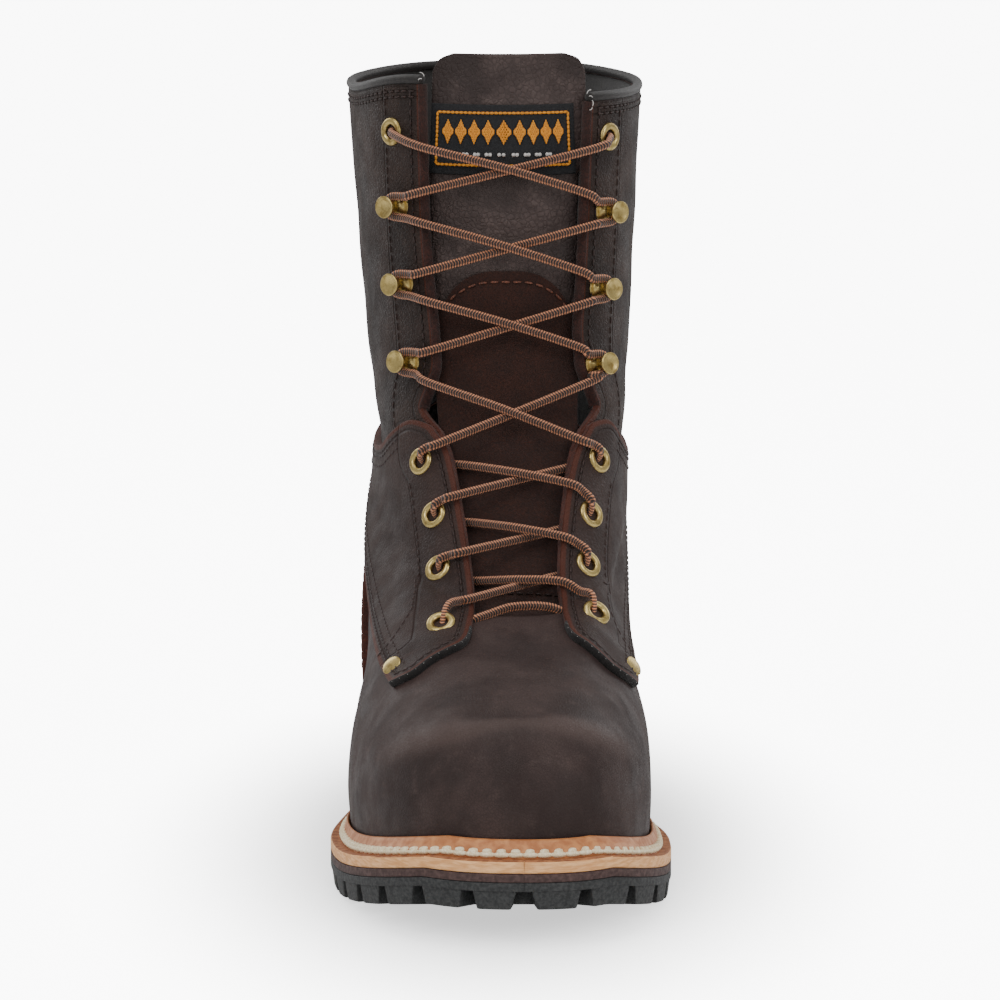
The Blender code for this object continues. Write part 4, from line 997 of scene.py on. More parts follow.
bands = []
for side in (1, -1):
    line = facing_line(side, 0.712, 1.0, 220)
    points, outward = skin(*step_aside(*line, 0.0006 * side))
    bands.append(sweep(f"band_{side}", points, outward, oval(0.0025, 0.0046, 14, -0.0021), shaft_edge))
facing_bands = join("facing_bands", bands)
TAB_STEPS = 62
tabs = []
flecks = []
for side in (1, -1):
    level, angle = quarters[side][2]
    points, outward = skin(level[:TAB_STEPS], angle[:TAB_STEPS])
    points = points + outward * (QUARTER_LIFT * 0.5)
    tabs.append(sweep(f"tab_{side}", points, outward, oval(0.0011, 0.0030, 10), dark_edge))
    flecks.append((points + outward * 0.0008, outward))
tab_edges = join("tab_edges", tabs)
print("bands:", len(bands), "tab edges:", len(tabs))

# %% Collar binding
def collar_line(count=260):
    s = np.linspace(0, 1, count)
    outer, inner = throat(np.ones(count), 1), throat(np.ones(count), -1)
    angle = outer + (2 * math.pi + inner - outer) * s
    return np.ones(count) + collar_lift(np.ones(count), angle), angle


level, angle = collar_line()
place, outward = bare_skin(level, angle)
middle = place - outward * UPPER_WALL / 2 + np.array((0, 0, BINDING / 2 - 0.0002))
binding = sweep("collar_roll", middle, outward, oval(BINDING * 0.98, BINDING * 1.04, 16), binding_paint)
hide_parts("collar_binding")
# Loose fibres at the binding's ends: where the bend starts, the height and the radius.
FRAY = ((0.2, 0.0010, 0.0016), (1.1, -0.0006, 0.0011), (2.3, -0.0022, 0.0014), (3.4, -0.0034, 0.0010))
upright = np.array((0, 0, 1.0))
fibres = []
for end, before_end, count in ((0, 1, 2), (-1, -2, 4)):
    ahead = unit(middle[end] - middle[before_end])
    for turn, height, radius in FRAY[:count]:
        spin = np.linspace(turn, turn + 1.6, 12)[:, None]
        centre = middle[end] + outward[end] * 0.0019 + ahead * 0.0006 + (0, 0, height)
        bend = centre + radius * (np.cos(spin) * ahead + np.sin(spin) * upright)
        facing_out = np.broadcast_to(outward[end], bend.shape)
        fibres.append(sweep(f"fibre_{len(fibres)}", bend, facing_out, oval(0.0003, 0.0003, 6), white_thread))
frayed = join("frayed_thread", fibres)
print("binding:", len(binding.data.polygons), "faces, loose fibres:", len(fibres))

# %% [markdown]
# Stitches are short rounded threads, placed along lines and joined into one mesh.

# %% Stitches
def bead(around=6, along=6):
    """The corners and faces of a small rounded thread, its length along the first axis."""
    turn = np.arange(around) / around * 2 * math.pi
    slope = np.linspace(0, math.pi, along + 1)[1:-1]
    corners = [(-1.0, 0.0, 0.0)]
    for lean in slope:
        wide = math.sin(lean) ** 0.6
        corners += [(-math.cos(lean), wide * math.cos(a), wide * math.sin(a)) for a in turn]
    corners.append((1.0, 0.0, 0.0))
    faces = [(0, 1 + (k + 1) % around, 1 + k) for k in range(around)]
    for row in range(along - 2):
        low = 1 + row * around
        high = low + around
        faces += [(low + k, low + (k + 1) % around, high + (k + 1) % around, high + k) for k in range(around)]
    last = len(corners) - 1
    faces += [(last, last - around + k, last - around + (k + 1) % around) for k in range(around)]
    return np.array(corners), faces


BEAD = bead()


def joined_mesh(name, corners, faces, *paints):
    """One mesh from a list of corners and faces, smooth, riding the boot."""
    mesh = bpy.data.meshes.new(name)
    spots = [tuple(map(float, spot)) for spot in corners]
    mesh.from_pydata(spots, [], [tuple(map(int, face)) for face in faces])
    mesh.validate()
    bm = bmesh.new()
    bm.from_mesh(mesh)
    bpy.data.meshes.remove(mesh)
    return new_piece(name, bm, *paints)


def stitched(name, rows, paint, long=0.0026, pitch=0.0034, thick=0.00075, proud=0.0002, slant=0.0):
    """Rows of stitches. long, pitch and thick are sizes, proud the height, slant the lean."""
    corners, faces, count = [], [], 0
    for points, outward in rows:
        far = lengths_along(points)
        number = max(2, int(far[-1] / pitch))
        spots = (np.arange(number) + 0.5) / number * far[-1]

        def follow(values, at):
            return np.stack([np.interp(at, far, values[:, k]) for k in range(3)], -1)

        place = follow(points, spots)
        up = unit(follow(outward, spots))
        travel = unit(follow(points, spots + 0.0004) - follow(points, spots - 0.0004))
        travel = unit(travel + np.cross(up, travel) * slant)
        side = unit(np.cross(up, travel))
        up = np.cross(travel, side)
        shape = BEAD[0] * (long / 2, thick / 2, thick / 2)
        turned_shape = np.einsum("kc,ncd->nkd", shape, np.stack((travel, side, up), axis=1))
        corners.append(((place + up * proud)[:, None] + turned_shape).reshape(-1, 3))
        for k in range(number):
            first = (count + k) * len(shape)
            faces += [[first + corner for corner in face] for face in BEAD[1]]
        count += number
    piece = joined_mesh(name, np.vstack(corners), faces, paint)
    print(name, count, "stitches")
    return piece


print("faces of a stitch:", len(BEAD[1]))

# %% Rows of stitches
def on_upper(line, inset, lift, part=(0.0, 1.0)):
    """A row of stitches beside a border line: its points and their outward directions."""
    level, angle = step_aside(*line, inset)
    count = len(level)
    cut = slice(int(part[0] * count), max(2, int(part[1] * count)))
    points, outward = skin(level[cut], angle[cut])
    return points + outward * lift, outward


tab_flecks = stitched("tab_flecks", flecks, white_thread, 0.0010, 0.0031, 0.00035, 0.0003, 1.1)
SEAM_LIFT = QUARTER_LIFT - 0.0002
QUARTER_ROWS = (0.0028, 0.0046, 0.0078)
rows = []
for side in (1, -1):
    low, top, front = quarters[side]
    rows.append(on_upper(front, 0.0036 * side, SEAM_LIFT))
    # the row behind the eyelets, led down to the tab's foot
    level, angle = step_aside(*front, 0.0205 * side)
    first, last = int(0.46 * len(level)), int(0.93 * len(level))
    foot = int(0.115 * len(low[0]))
    share = np.linspace(0, 1, 70, endpoint=False)
    level = np.concatenate((low[0][foot] + (level[first] - low[0][foot]) * share, level[first:last]))
    angle = np.concatenate((low[1][foot] + (angle[first] - low[1][foot]) * share, angle[first:last]))
    points, outward = skin(*respace(level, angle, 260))
    rows.append((points + outward * SEAM_LIFT, outward))
    for line, turn, start in ((top, side, 0.14), (low, -side, 0.02)):
        rows += [on_upper(line, inset * turn, SEAM_LIFT, (start, 0.99)) for inset in QUARTER_ROWS]
quarter_stitches = stitched("quarter_stitches", rows, brown_thread)
rows = []
for side in (1, -1):
    line = facing_line(side, 0.70, 1.0, 240)
    rows.append(on_upper(line, 0.0046 * side, -0.0001, (0.10, 0.985)))
    rows.append(on_upper(line, 0.0195 * side, -0.0001, (0.0, 0.985)))
for inset in (0.0026, 0.0046):
    rows.append(on_upper(collar_line(), inset, -0.0001, (0.01, 0.99)))
level = np.linspace(0.56, 0.985, 200)
for aside in (-0.077, 0.077):
    points, outward = skin(level, np.full(200, math.pi + aside))
    rows.append((points - outward * 0.0003, outward))
shaft_stitches = stitched("shaft_stitches", rows, brown_thread)
rows = [on_upper(counter_top, inset, SEAM_LIFT, (0.03, 0.97)) for inset in (0.0030, 0.0050)]
counter_stitches = stitched("counter_stitches", rows, brown_thread)

# %% Tongue stitching
share = np.linspace(-0.93, 0.93, 160)
high = suede_top(share) - 0.011
rows = [on_tongue(high, share * suede_width(high) * 0.97, 0.0013)]
tongue_stitches = stitched("tongue_stitches", rows, copper_thread, 0.0030, 0.0040, 0.0009)
share = np.linspace(-0.95, 0.95, 60)
rows = [on_tongue(0.541 - 0.012 * share**2, share * 0.9, 0.0013)]
floor_stitches = stitched("throat_stitches", rows, brown_thread, 0.0024, 0.0032, 0.0009)

# %% [markdown]
# The patch is black cloth with a stitched border. A plain row of diamonds and a dashed line take
# the place of the words.

# %% Patch
PATCH_LOW, PATCH_HIGH = 0.940, 1.003
PATCH_OUTER, PATCH_INNER = -0.97, 0.93


def patch_point(u, v, lift=0.0):
    """A point of the patch, u from the outer side to the inner and v up, both from 0 to 1."""
    level = PATCH_LOW + (PATCH_HIGH - PATCH_LOW) * v
    across = PATCH_OUTER + (PATCH_INNER - PATCH_OUTER) * u
    return on_tongue(level, across, 0.0007 + np.asarray(lift))


u, v = np.meshgrid(crowded(60, 0.02, 0.02), crowded(24, 0.04, 0.04))
points, outward = patch_point(u, v)
near = np.minimum(np.minimum(u, 1 - u) * 46.0, np.minimum(v, 1 - v) * 20.0)
points += outward * rounded(near, 0.0, 0.0004)[..., None]
patch = panel("patch_cloth", points, outward, 0.0008, patch_cloth, patch_cloth, {"rim": near})
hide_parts("tongue_patch")


def patch_line(corners, lift=0.0001):
    """Straight runs between (u, v) corners on the patch."""
    fine = []
    for a, b in zip(corners, corners[1:]):
        share = np.linspace(0, 1, 40, endpoint=False)[:, None]
        fine.append(np.array(a) * (1 - share) + np.array(b) * share)
    fine = np.vstack((*fine, corners[-1:]))
    return patch_point(fine[:, 0], fine[:, 1], lift)


border = ((0.055, 0.13), (0.945, 0.13), (0.945, 0.87), (0.055, 0.87), (0.055, 0.13))
rows = [patch_line(border[k : k + 2]) for k in range(4)]
border_piece = stitched("patch_border", rows, orange_thread, 0.0016, 0.0015, 0.0010, 0.0002)
rows = []
for k in range(9):
    middle = 0.135 + 0.73 * k / 8
    for step in np.linspace(-1, 1, 11):
        half = 0.165 * (1 - abs(step)) + 0.012
        u = middle + step * 0.034
        rows.append(patch_line(((u, 0.59 - half), (u, 0.59 + half))))
diamonds = stitched("patch_diamonds", rows, orange_thread, 0.0017, 0.0015, 0.00062, 0.0003)
rows = [patch_line(((0.16 + 0.076 * k, 0.275), (0.205 + 0.076 * k, 0.275))) for k in range(9)]
dashes = stitched("patch_dashes", rows, white_thread, 0.0013, 0.0011, 0.0014, 0.0002)

# %% [markdown]
# Brass hardware is turned: a half outline is spun round the line that stands square to the leather.

# %% Eyelets, hooks and rivets
def standing(place, outward):
    """A placing that stands a form's own Z square to the leather."""
    return Matrix.Translation(Vector(place)) @ Vector(outward).to_track_quat("Z", "Y").to_matrix().to_4x4()


def turned(outline, spots, name):
    """Spin one outline of (radius, height) points at each place, and join them all."""
    bm = bmesh.new()
    for place, outward in spots:
        turn = standing(place, outward)
        verts = [bm.verts.new(turn @ Vector((radius, 0, height))) for radius, height in outline]
        edges = [bm.edges.new(pair) for pair in zip(verts, verts[1:])]
        bmesh.ops.spin(bm, geom=[*verts, *edges], cent=Vector(place), axis=Vector(outward),
                       angle=2 * math.pi, steps=28, use_duplicate=False, use_merge=True)
    bmesh.ops.remove_doubles(bm, verts=bm.verts, dist=0.000004)
    bmesh.ops.recalc_face_normals(bm, faces=bm.faces)
    piece = new_piece(name, bm, brass)
    return piece


def arc(middle, radius, first, last, count=7):
    """Outline points on an arc, its angles in degrees from straight out."""
    turn = np.radians(np.linspace(first, last, count))
    return [(middle[0] + math.cos(a) * radius, middle[1] + math.sin(a) * radius) for a in turn]


print("turned pieces are ready")

# %% Outlines and places of the hardware
# It leans towards the viewer: eyelets a little, the lowest row the most, hooks nearly as much.
LEAN = np.array((0.0, -0.16, 0.0))
HOOK_LEAN = 1.9


def places(row, lift, lean=None):
    """The outer and the inner place of a table's row, each with the way that the piece stands."""
    spots = []
    for side, (level, degrees) in ((1, row[:2]), (-1, row[2:])):
        place, outward = skin(np.array([level]), np.array([side * math.radians(degrees)]), lift)
        share = lean or 1.0 + 1.2 * (level < 0.45)
        spots.append((place[0], unit(outward[0] + LEAN * share)))
    return spots


bore, flange = EYELET_BORE / 2, EYELET_FLANGE / 2
roll = (flange - bore) / 2
rolled = [(bore + roll - roll * math.cos(a), 0.0002 + 0.0011 * math.sin(a))
          for a in np.linspace(0.25, math.pi - 0.05, 12)]
eyelet = [(bore, -0.0042), (bore, 0.0002), *rolled, (flange, -0.0004), (flange - 0.0002, -0.0018)]
lower = [spot for row in LOWER_EYELETS for spot in places(row, QUARTER_LIFT)]
lower_piece = turned(eyelet, lower, "lower_eyelets")
top_piece = turned(eyelet, places(TOP_EYELET, 0.0001), "top_eyelets")
head, waist, base = HOOK_HEAD / 2, HOOK_WAIST / 2, HOOK_BASE / 2
hook = [
    (0.0, HOOK_HEIGHT - 0.00045), (head * 0.55, HOOK_HEIGHT - 0.0004),
    (head * 0.74, HOOK_HEIGHT - 0.0001), (head * 0.88, HOOK_HEIGHT),
    *arc((head - 0.0004, HOOK_HEIGHT - 0.0004), 0.0004, 80, -80, 6),
    (head * 0.90, HOOK_HEIGHT - 0.0014), (head * 0.74, HOOK_HEIGHT - 0.0026),
    (head * 0.60, HOOK_HEIGHT - 0.0036), (waist * 1.04, HOOK_HEIGHT - 0.0046),
    (waist, HOOK_HEIGHT - 0.0054), (waist * 1.10, 0.0022),
    (waist * 1.35, 0.0014), (waist * 1.7, 0.0010), (base * 0.86, 0.0009), (base * 0.95, 0.0008),
    *arc((base - 0.0003, 0.0005), 0.0003, 60, -60, 5), (base * 0.9, 0.0), (0.0, 0.0),
]
hook_spots = [spot for row in HOOKS for spot in places(row, 0.0002, HOOK_LEAN)]
hooks = turned(hook, hook_spots, "lace_hooks")
rivet = [(0.0, 0.0010), (RIVET * 0.20, 0.00098), (RIVET * 0.36, 0.0008),
         *arc((RIVET / 2 - 0.0003, 0.0004), 0.0003, 70, -60, 5)]
rivets = turned(rivet, places(TAB_RIVET, QUARTER_LIFT + 0.0001), "tab_rivets")
for number in range(1, 5):
    for side in ("outer", "inner"):
        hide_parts(f"lower_eyelet_{number}_{side}")
for side in ("outer", "inner"):
    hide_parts(f"top_eyelet_{side}")
    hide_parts(f"tab_rivet_{side}")
    for number in range(1, 4):
        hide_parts(f"hook_{number}_{side}")

# Dark discs at the bottom of the bores are painted shade, and stand for the holes through the leather.
bm = bmesh.new()
for place, outward in (*lower, *places(TOP_EYELET, 0.0)):
    turn = standing(place - outward * 0.0036, outward)
    bmesh.ops.create_circle(bm, cap_ends=True, segments=24, radius=bore + 0.0001, matrix=turn)
hole_shade = new_piece("eyelet_hole_shade", bm, dark_edge)
print("hardware:", len(lower), "lower eyelets")

# %% [markdown]
# The lace runs from each eyelet or hook across to the next one up on the other side. Under the
# facings it comes back out through the next eyelet.

# %% Lace paint
BRAID_PITCH = 0.98
lace_paint, lace_shader = new_paint("braided_lace", Roughness=0.62, Sheen_Weight=0.15)
tree = lace_paint.node_tree
edge = maths(tree, "ABSOLUTE", measured(tree, "edge"))
turns = maths(tree, "MULTIPLY", measured(tree, "along"), 2 * math.pi / BRAID_PITCH)
twist = maths(tree, "SINE", maths(tree, "ADD", turns, maths(tree, "MULTIPLY", edge, 3.4)))
# The lace's top and bottom rims carry a painted highlight, beaded by the twist; the flat middle gets the braid's
# chevrons.
rim_share = span(tree, edge, 0.46, 0.66)
rim_light = maths(tree, "MULTIPLY", rim_share, span(tree, twist, -0.6, 0.2, 0.12, 1.0))
flat_share = maths(tree, "SUBTRACT", 1.0, rim_share)
flat_light = maths(tree, "MULTIPLY", flat_share, span(tree, twist, 0.2, 0.9, 0.0, 0.42))
strand = maths(tree, "ADD", rim_light, flat_light)
shade = blend(tree, strand, colour(30, 14, 10), colour(206, 136, 96))
tree.links.new(shade, lace_shader.inputs["Base Color"])
tree.links.new(bump(tree, twist, 0.00022, 0.9), lace_shader.inputs["Normal"])
print("lace paint:", len(tree.nodes), "nodes")

# %% Braided paths
LACE_STEP = 0.00034
LACE_SMOOTHING = 24


def smooth_path(corners):
    """A path through the corners in even steps, with its bends eased."""
    corners = np.array(corners, float)
    padded = with_ends(corners)
    u = np.linspace(0, 1, 40, endpoint=False)[:, None]
    fine = [spline(*padded[k : k + 4], u) for k in range(len(corners) - 1)]
    fine = np.vstack((*fine, corners[-1:]))
    far = lengths_along(fine)
    even = np.linspace(0, far[-1], int(far[-1] / LACE_STEP))
    path = np.stack([np.interp(even, far, fine[:, k]) for k in range(3)], -1)
    for _ in range(LACE_SMOOTHING):
        path[1:-1] = (path[:-2] + 2 * path[1:-1] + path[2:]) / 4
    return path


def braided(name, corners):
    """A flat braid round a path. It carries its length in millimetres, and how near an edge is."""
    path = smooth_path(corners)
    travel = unit(np.gradient(path, axis=0))
    side = unit(np.cross(travel, (0.05, 0.1, 1.0)))
    away = np.cross(side, travel)
    far = lengths_along(path)[:, None]
    turn = np.linspace(0, 2 * math.pi, 18, endpoint=False)[None]
    wide = np.cos(turn)[..., None] * side[:, None] * 0.86 + np.sin(turn)[..., None] * away[:, None] * 1.16
    ring = path[:, None] + wide * LACE / 2
    along, edge = np.broadcast_arrays(far * 1000, np.sin(turn))
    ring = np.concatenate((ring, ring[:, :1]), axis=1)
    along, edge = (np.concatenate((values, values[:, :1]), axis=1) for values in (along, edge))
    bm = grid_mesh(ring, unit(ring - path[:, None]), {"along": along, "edge": edge})
    weld(bm, 0.000001)
    fill_ends(bm)
    return new_piece(name, bm, lace_paint)


print("braided paths are ready")

# %% Places of the lace
def at(level, degrees, lift):
    """One point off the creased surface, degrees positive on the outer side."""
    place, outward = skin(np.array([level]), np.array([math.radians(degrees)]), lift)
    return place[0]


def hole(row, side):
    """The level and degrees of a row's hole or hook on one side."""
    return (row[0], row[1]) if side > 0 else (row[2], -row[3])


def edge_degrees(level, side):
    return math.degrees(throat(np.array([level]), side)[0])


def mixed(a, b, share):
    return a + (b - a) * share


OVER = LACE / 2 + 0.0006
OVER_QUARTER = OVER + QUARTER_LIFT
UNDER = -(UPPER_WALL + FIT + LACE / 2 + 0.0002)
THROUGH = -0.0045


def wrap(level, degrees, side, up):
    """Round the outside of a hook's waist, then over it or under it towards the throat."""
    arm = HOOK_WAIST / 2 + LACE / 2
    place, outward = skin(np.array([level]), np.array([math.radians(degrees)]))
    outward = unit(outward[0] + LEAN * HOOK_LEAN)
    aside = unit(np.cross(outward, (0.0, 0.0, 1.0))) * side
    high = np.cross(aside, outward)
    high = high * np.sign(high[2]) * up
    middle = place[0] + outward * (LACE / 2 + 0.0021)
    steps = ((1.0, -0.3), (0.95, 0.45), (0.45, 0.98), (-0.5, 1.12), (-1.9, 1.18))
    return [middle + aside * arm * out + high * arm * rise for out, rise in steps]


print("lace over the leather:", round(OVER, 4), "under it:", round(UNDER, 4))

# %% Crossings
# How far up each lower strand is, as shares of a row, where it leaves one facing and where it goes
# under the other.
REACHES = (
    {1: (0.70, 1.10), -1: (0.98, 1.13)},
    {1: (0.52, 1.08), -1: (0.74, 1.24)},
    {1: (0.52, 1.15), -1: (0.74, 1.26)},
)
UPPER_REACH = (0.27, 0.85)
ROWS = (*LOWER_EYELETS, *HOOKS, TOP_EYELET)
LAST_EYELET = len(LOWER_EYELETS) - 1


def crossing(number, side, stack):
    """One strand from side to the other side of the row above, lifted by stack at its middle."""
    low, high = hole(ROWS[number], side), hole(ROWS[number + 1], -side)
    near_share, far_share = UPPER_REACH if number >= LAST_EYELET else REACHES[number][side]
    near_level, far_level = mixed(low[0], high[0], near_share), mixed(low[0], high[0], far_share)
    near_edge, far_edge = edge_degrees(near_level, side), edge_degrees(far_level, -side)
    near, far = (near_level, near_edge), (far_level, far_edge)

    def between(a, b, level_share, degree_share, lift):
        return at(mixed(a[0], b[0], level_share), mixed(a[1], b[1], degree_share), lift)

    if number <= LAST_EYELET:
        start_lift = OVER_QUARTER
        corners = [at(*low, THROUGH), at(*low, 0.0004), between(low, near, 0.32, 0.24, OVER_QUARTER + 0.0012),
                   between(low, near, 0.72, 0.62, OVER_QUARTER)]
    else:
        start_lift = OVER
        corners = wrap(*low, side, 1)
    leaving = len(corners)
    corners.append(at(near_level, near_edge - 1.5 * side, start_lift))
    if number < LAST_EYELET:
        corners += [at(far_level, far_edge + 2.0 * side, UNDER - 0.0002),
                    between(far, high, 0.6, 0.6, UNDER - 0.0004), at(*high, THROUGH)]
    else:
        over_first_hook = 0.0009 if number == LAST_EYELET else 0.0
        corners.append(at(far_level, far_edge + 1.5 * side, OVER + over_first_hook))
        if number + 2 < len(ROWS):
            corners += wrap(*high, -side, -1)[::-1]
        else:
            corners += [between(far, high, 0.8, 0.70, OVER + 0.0008), at(*high, 0.0004), at(*high, THROUGH)]
    if stack:
        middle = (corners[leaving] + corners[leaving + 1]) / 2 + np.array((0, -0.93, 0.37)) * stack
        corners.insert(leaving + 1, middle)
    return corners


strands = []
for number in range(len(ROWS) - 1):
    for side, stack in ((1, 0.0), (-1, LACE)):
        strands.append(braided(f"strand_{number}_{side}", crossing(number, side, stack)))
# The bottom bar: level, degrees and lift.
BAR = (
    (0.440, 31.0, UNDER), (0.470, 23.0, -0.0012), (0.481, 19.0, 0.0006), (0.503, 12.0, 0.0010),
    (0.519, 3.0, 0.0012), (0.521, -5.0, 0.0012), (0.515, -14.0, 0.0010), (0.503, -20.0, 0.0004),
    (0.490, -25.0, -0.0012), (0.455, -33.0, UNDER),
)
strands.append(braided("strand_bar", [at(*row) for row in BAR]))
lace = join("lace", strands)
for number in range(1, 8):
    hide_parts(f"lace_crossing_{number}")
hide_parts("lace_bar")
print("lace:", len(lace.data.polygons), "faces")

# %% [markdown]
# The welt is a rounded strip against the upper. The band outside it is the midsole's own top,
# and the lockstitch runs between the two.

# %% Welt
reach = angle_at(WELT_START)
welt_turn = np.linspace(-reach, reach, 620)
# The strip's section: the share of the way out from the upper, and the height.
SECTION = (
    (0.0, 0.0), (0.0, 0.0044), (0.08, 0.0053), (0.20, 0.0055), (0.34, 0.0051), (0.50, 0.0040),
    (0.66, 0.0028), (0.82, 0.0021), (0.93, 0.0017), (1.0, 0.0011), (1.0, 0.0),
)
ring = []
for share, height in SECTION:
    inner = last_point(height / INSTEP_HEIGHT * 0.5, welt_turn, 0.0002)
    outer = sole_edge(welt_turn, WELT_INSET)
    spot = inner + (outer - inner) * share
    spot[:, 2] = outer[:, 2] + height - GAP
    ring.append(spot)
ring = np.stack(ring, axis=1)
middle = ring.mean(axis=1, keepdims=True) - np.array((0, 0, 0.002))
bm = grid_mesh(ring, unit(ring - middle))
welt = new_piece("welt_strip", bm, welt_paint)
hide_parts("welt")


def along_edge(inset, height):
    """A line along the sole's edge, some way in and up, with the way up."""
    points = sole_edge(np.linspace(-reach, reach, 900), inset)
    points[:, 2] += height - GAP
    return points, np.broadcast_to((0.0, 0.0, 1.0), points.shape)


rows = [along_edge(WELT_INSET + 0.0002, 0.0011)]
stitch_low = stitched("welt_stitches", rows, cream_thread, 0.0050, 0.0046, 0.0019, 0.0002)
rows = [along_edge(WELT_INSET + 0.0009, 0.0017)]
stitch_high = stitched("welt_stitch_tops", rows, cream_thread, 0.0032, 0.0046, 0.0022, 0.0004, 0.55)
print("welt:", len(welt.data.polygons), "faces")

# %% [markdown]
# Each layer of the sole is a closed form: across its top, down its rounded side, back under it.

# %% Sole layers
LAYER_TURN = np.clip(math.pi * np.linspace(0, 1, 260) ** 1.15, 0.0005, math.pi - 0.0005)


def side_run(radius, thick):
    """The side of a layer as (inset, share down) steps, with both of its edges rounded."""
    top = [(radius * (1 - math.sin(a)), radius * (1 - math.cos(a)) / thick)
           for a in np.linspace(0, math.pi / 2, 5)]
    foot = [(radius * (1 - math.cos(a)), 1 - radius * (1 - math.sin(a)) / thick)
            for a in np.linspace(0, math.pi / 2, 4)]
    return [*top, (0.0, 0.35), (0.0, 0.65), *foot]


def layer(name, top, bottom, radius, *paints):
    """A layer between two drops below the last."""
    outer_run, inner_run = [], []
    for inset, share in side_run(radius, bottom - top):
        for side, run in ((1, outer_run), (-1, inner_run)):
            edge = sole_edge(LAYER_TURN * side, inset)
            edge[:, 2] -= top + (bottom - top) * share + GAP
            run.append(edge)
    wide = np.linspace(0, 1, 14)[1:-1]
    under = [inner_run[-1] + (outer_run[-1] - inner_run[-1]) * share for share in wide]
    across_top = [outer_run[0] + (inner_run[0] - outer_run[0]) * share for share in wide]
    ring = np.stack([*inner_run, *under, *outer_run[::-1], *across_top, inner_run[0]], axis=1)
    bm = grid_mesh(ring, unit(ring - ring.mean(axis=1, keepdims=True)))
    weld(bm, 0.000002)
    fill_ends(bm)
    bmesh.ops.dissolve_degenerate(bm, dist=0.000001, edges=bm.edges)
    bmesh.ops.recalc_face_normals(bm, faces=bm.faces)
    piece = new_piece(name, bm, *paints)
    piece.data.set_sharp_from_angle(angle=math.radians(50))
    return piece


BROWN_DROP = TAN_MIDSOLE + BROWN_MIDSOLE
BASE_DROP = BROWN_DROP + OUTSOLE_BASE
tan = layer("tan_midsole_layer", 0.0, TAN_MIDSOLE - 0.0001, 0.0008, tan_side, tan_top)
for face in tan.data.polygons:
    if face.normal.z > 0.6:
        face.material_index = 1
brown = layer("brown_midsole_layer", TAN_MIDSOLE, BROWN_DROP - 0.0001, 0.0003, brown_side)
base = layer("outsole_base", BROWN_DROP, BASE_DROP, 0.0005, rubber)
for piece, node_name, slot in (
    (tan, "tan_midsole", "tan_midsole"),
    (brown, "brown_midsole", "brown_midsole"),
    (base, "outsole", "rubber"),
):
    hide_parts(node_name)
print("tan layer:", len(tan.data.polygons), "faces")

# %% [markdown]
# The lugs are blocks with their corners given by a rule, then bevelled. Gaps widen to the floor.

# %% Blocks
def blocks(name, rules, steps):
    """One mesh of closed blocks, each from a rule of (along, inward, down) shares."""
    corners, faces = [], []
    for rule in rules:
        first = len(corners)
        for k in range(steps + 1):
            corners += [rule(k / steps, *pair) for pair in ((0, 0), (0, 1), (1, 1), (1, 0))]
        for k in range(steps):
            low = first + 4 * k
            faces += [(low + j, low + (j + 1) % 4, low + 4 + (j + 1) % 4, low + 4 + j) for j in range(4)]
        faces += [(first + 3, first + 2, first + 1, first), tuple(first + 4 * steps + j for j in range(4))]
    piece = joined_mesh(name, corners, faces, rubber)
    bm = bmesh.new()
    bm.from_mesh(piece.data)
    bmesh.ops.recalc_face_normals(bm, faces=bm.faces)
    sharp = [edge for edge in bm.edges if edge.is_manifold and edge.calc_face_angle() > math.radians(40)]
    bmesh.ops.bevel(bm, geom=sharp, offset=0.0007, segments=2, profile=0.6, affect="EDGES",
                    clamp_overlap=True)
    bpy.data.objects.remove(piece)
    piece = new_piece(name, bm, rubber)
    piece.data.set_sharp_from_angle(angle=math.radians(35))
    return piece


WALK = np.linspace(0.0001, math.pi - 0.0001, 3000)
EDGES = {side: sole_edge(WALK * side) for side in (1, -1)}
FAR = {side: lengths_along(EDGES[side] * (1, 1, 0)) for side in (1, -1)}
LUG_SINK = 0.0004
LUG_DROP = LUG_DEPTH + 0.0003


def roof_at(place):
    """The height where a lug starts, a little way up inside the outsole's base."""
    along = np.clip(SHIFT[1] - place[1], 0.0, LAST_LENGTH)
    return float(sole_top(along)) - BASE_DROP + LUG_SINK


def edge_lug(side, first, last, first_share, last_share):
    """A lug of the edge between two gaps, which are measured along the edge from the toe."""
    def rule(along, inward, down):
        wide = LUG_GAP_TOP + (LUG_GAP_BOTTOM - LUG_GAP_TOP) * down
        start, stop = first + wide / 2 * first_share, last - wide / 2 * last_share
        turn = np.interp(start + (stop - start) * along, FAR[side], WALK) * side
        inset = 0.0003 + 0.0009 * down * (1 - inward) + LUG_REACH_IN * inward
        place = sole_edge(np.array([turn]), inset)[0]
        return place[0], place[1], roof_at(place) - down * LUG_DROP
    return rule


rules = []
for side, pitch in ((1, LUG_PITCH_OUTER), (-1, LUG_PITCH_INNER)):
    backward = EDGES[side][:, 1] - SHIFT[1]
    limit = float(np.interp(-LAST_LENGTH * LUGS_START, backward, FAR[side]))
    gaps = [pitch * k for k in range(12) if pitch * k < limit - 0.012]
    for k, (start, stop) in enumerate(zip(gaps, (*gaps[1:], limit))):
        toe_share = TOE_GAP_SHARE if k == 0 else 1.0
        last_share = 0.0 if stop == limit else 1.0
        rules.append(edge_lug(side, start, stop, toe_share, last_share))
edge_lugs = blocks("edge_lugs", rules, 6)
print("edge lugs:", len(rules))

# %% Middle of the forefoot
inner_edge = {side: sole_edge(WALK * side, LUG_REACH_IN - 0.0012) for side in (1, -1)}


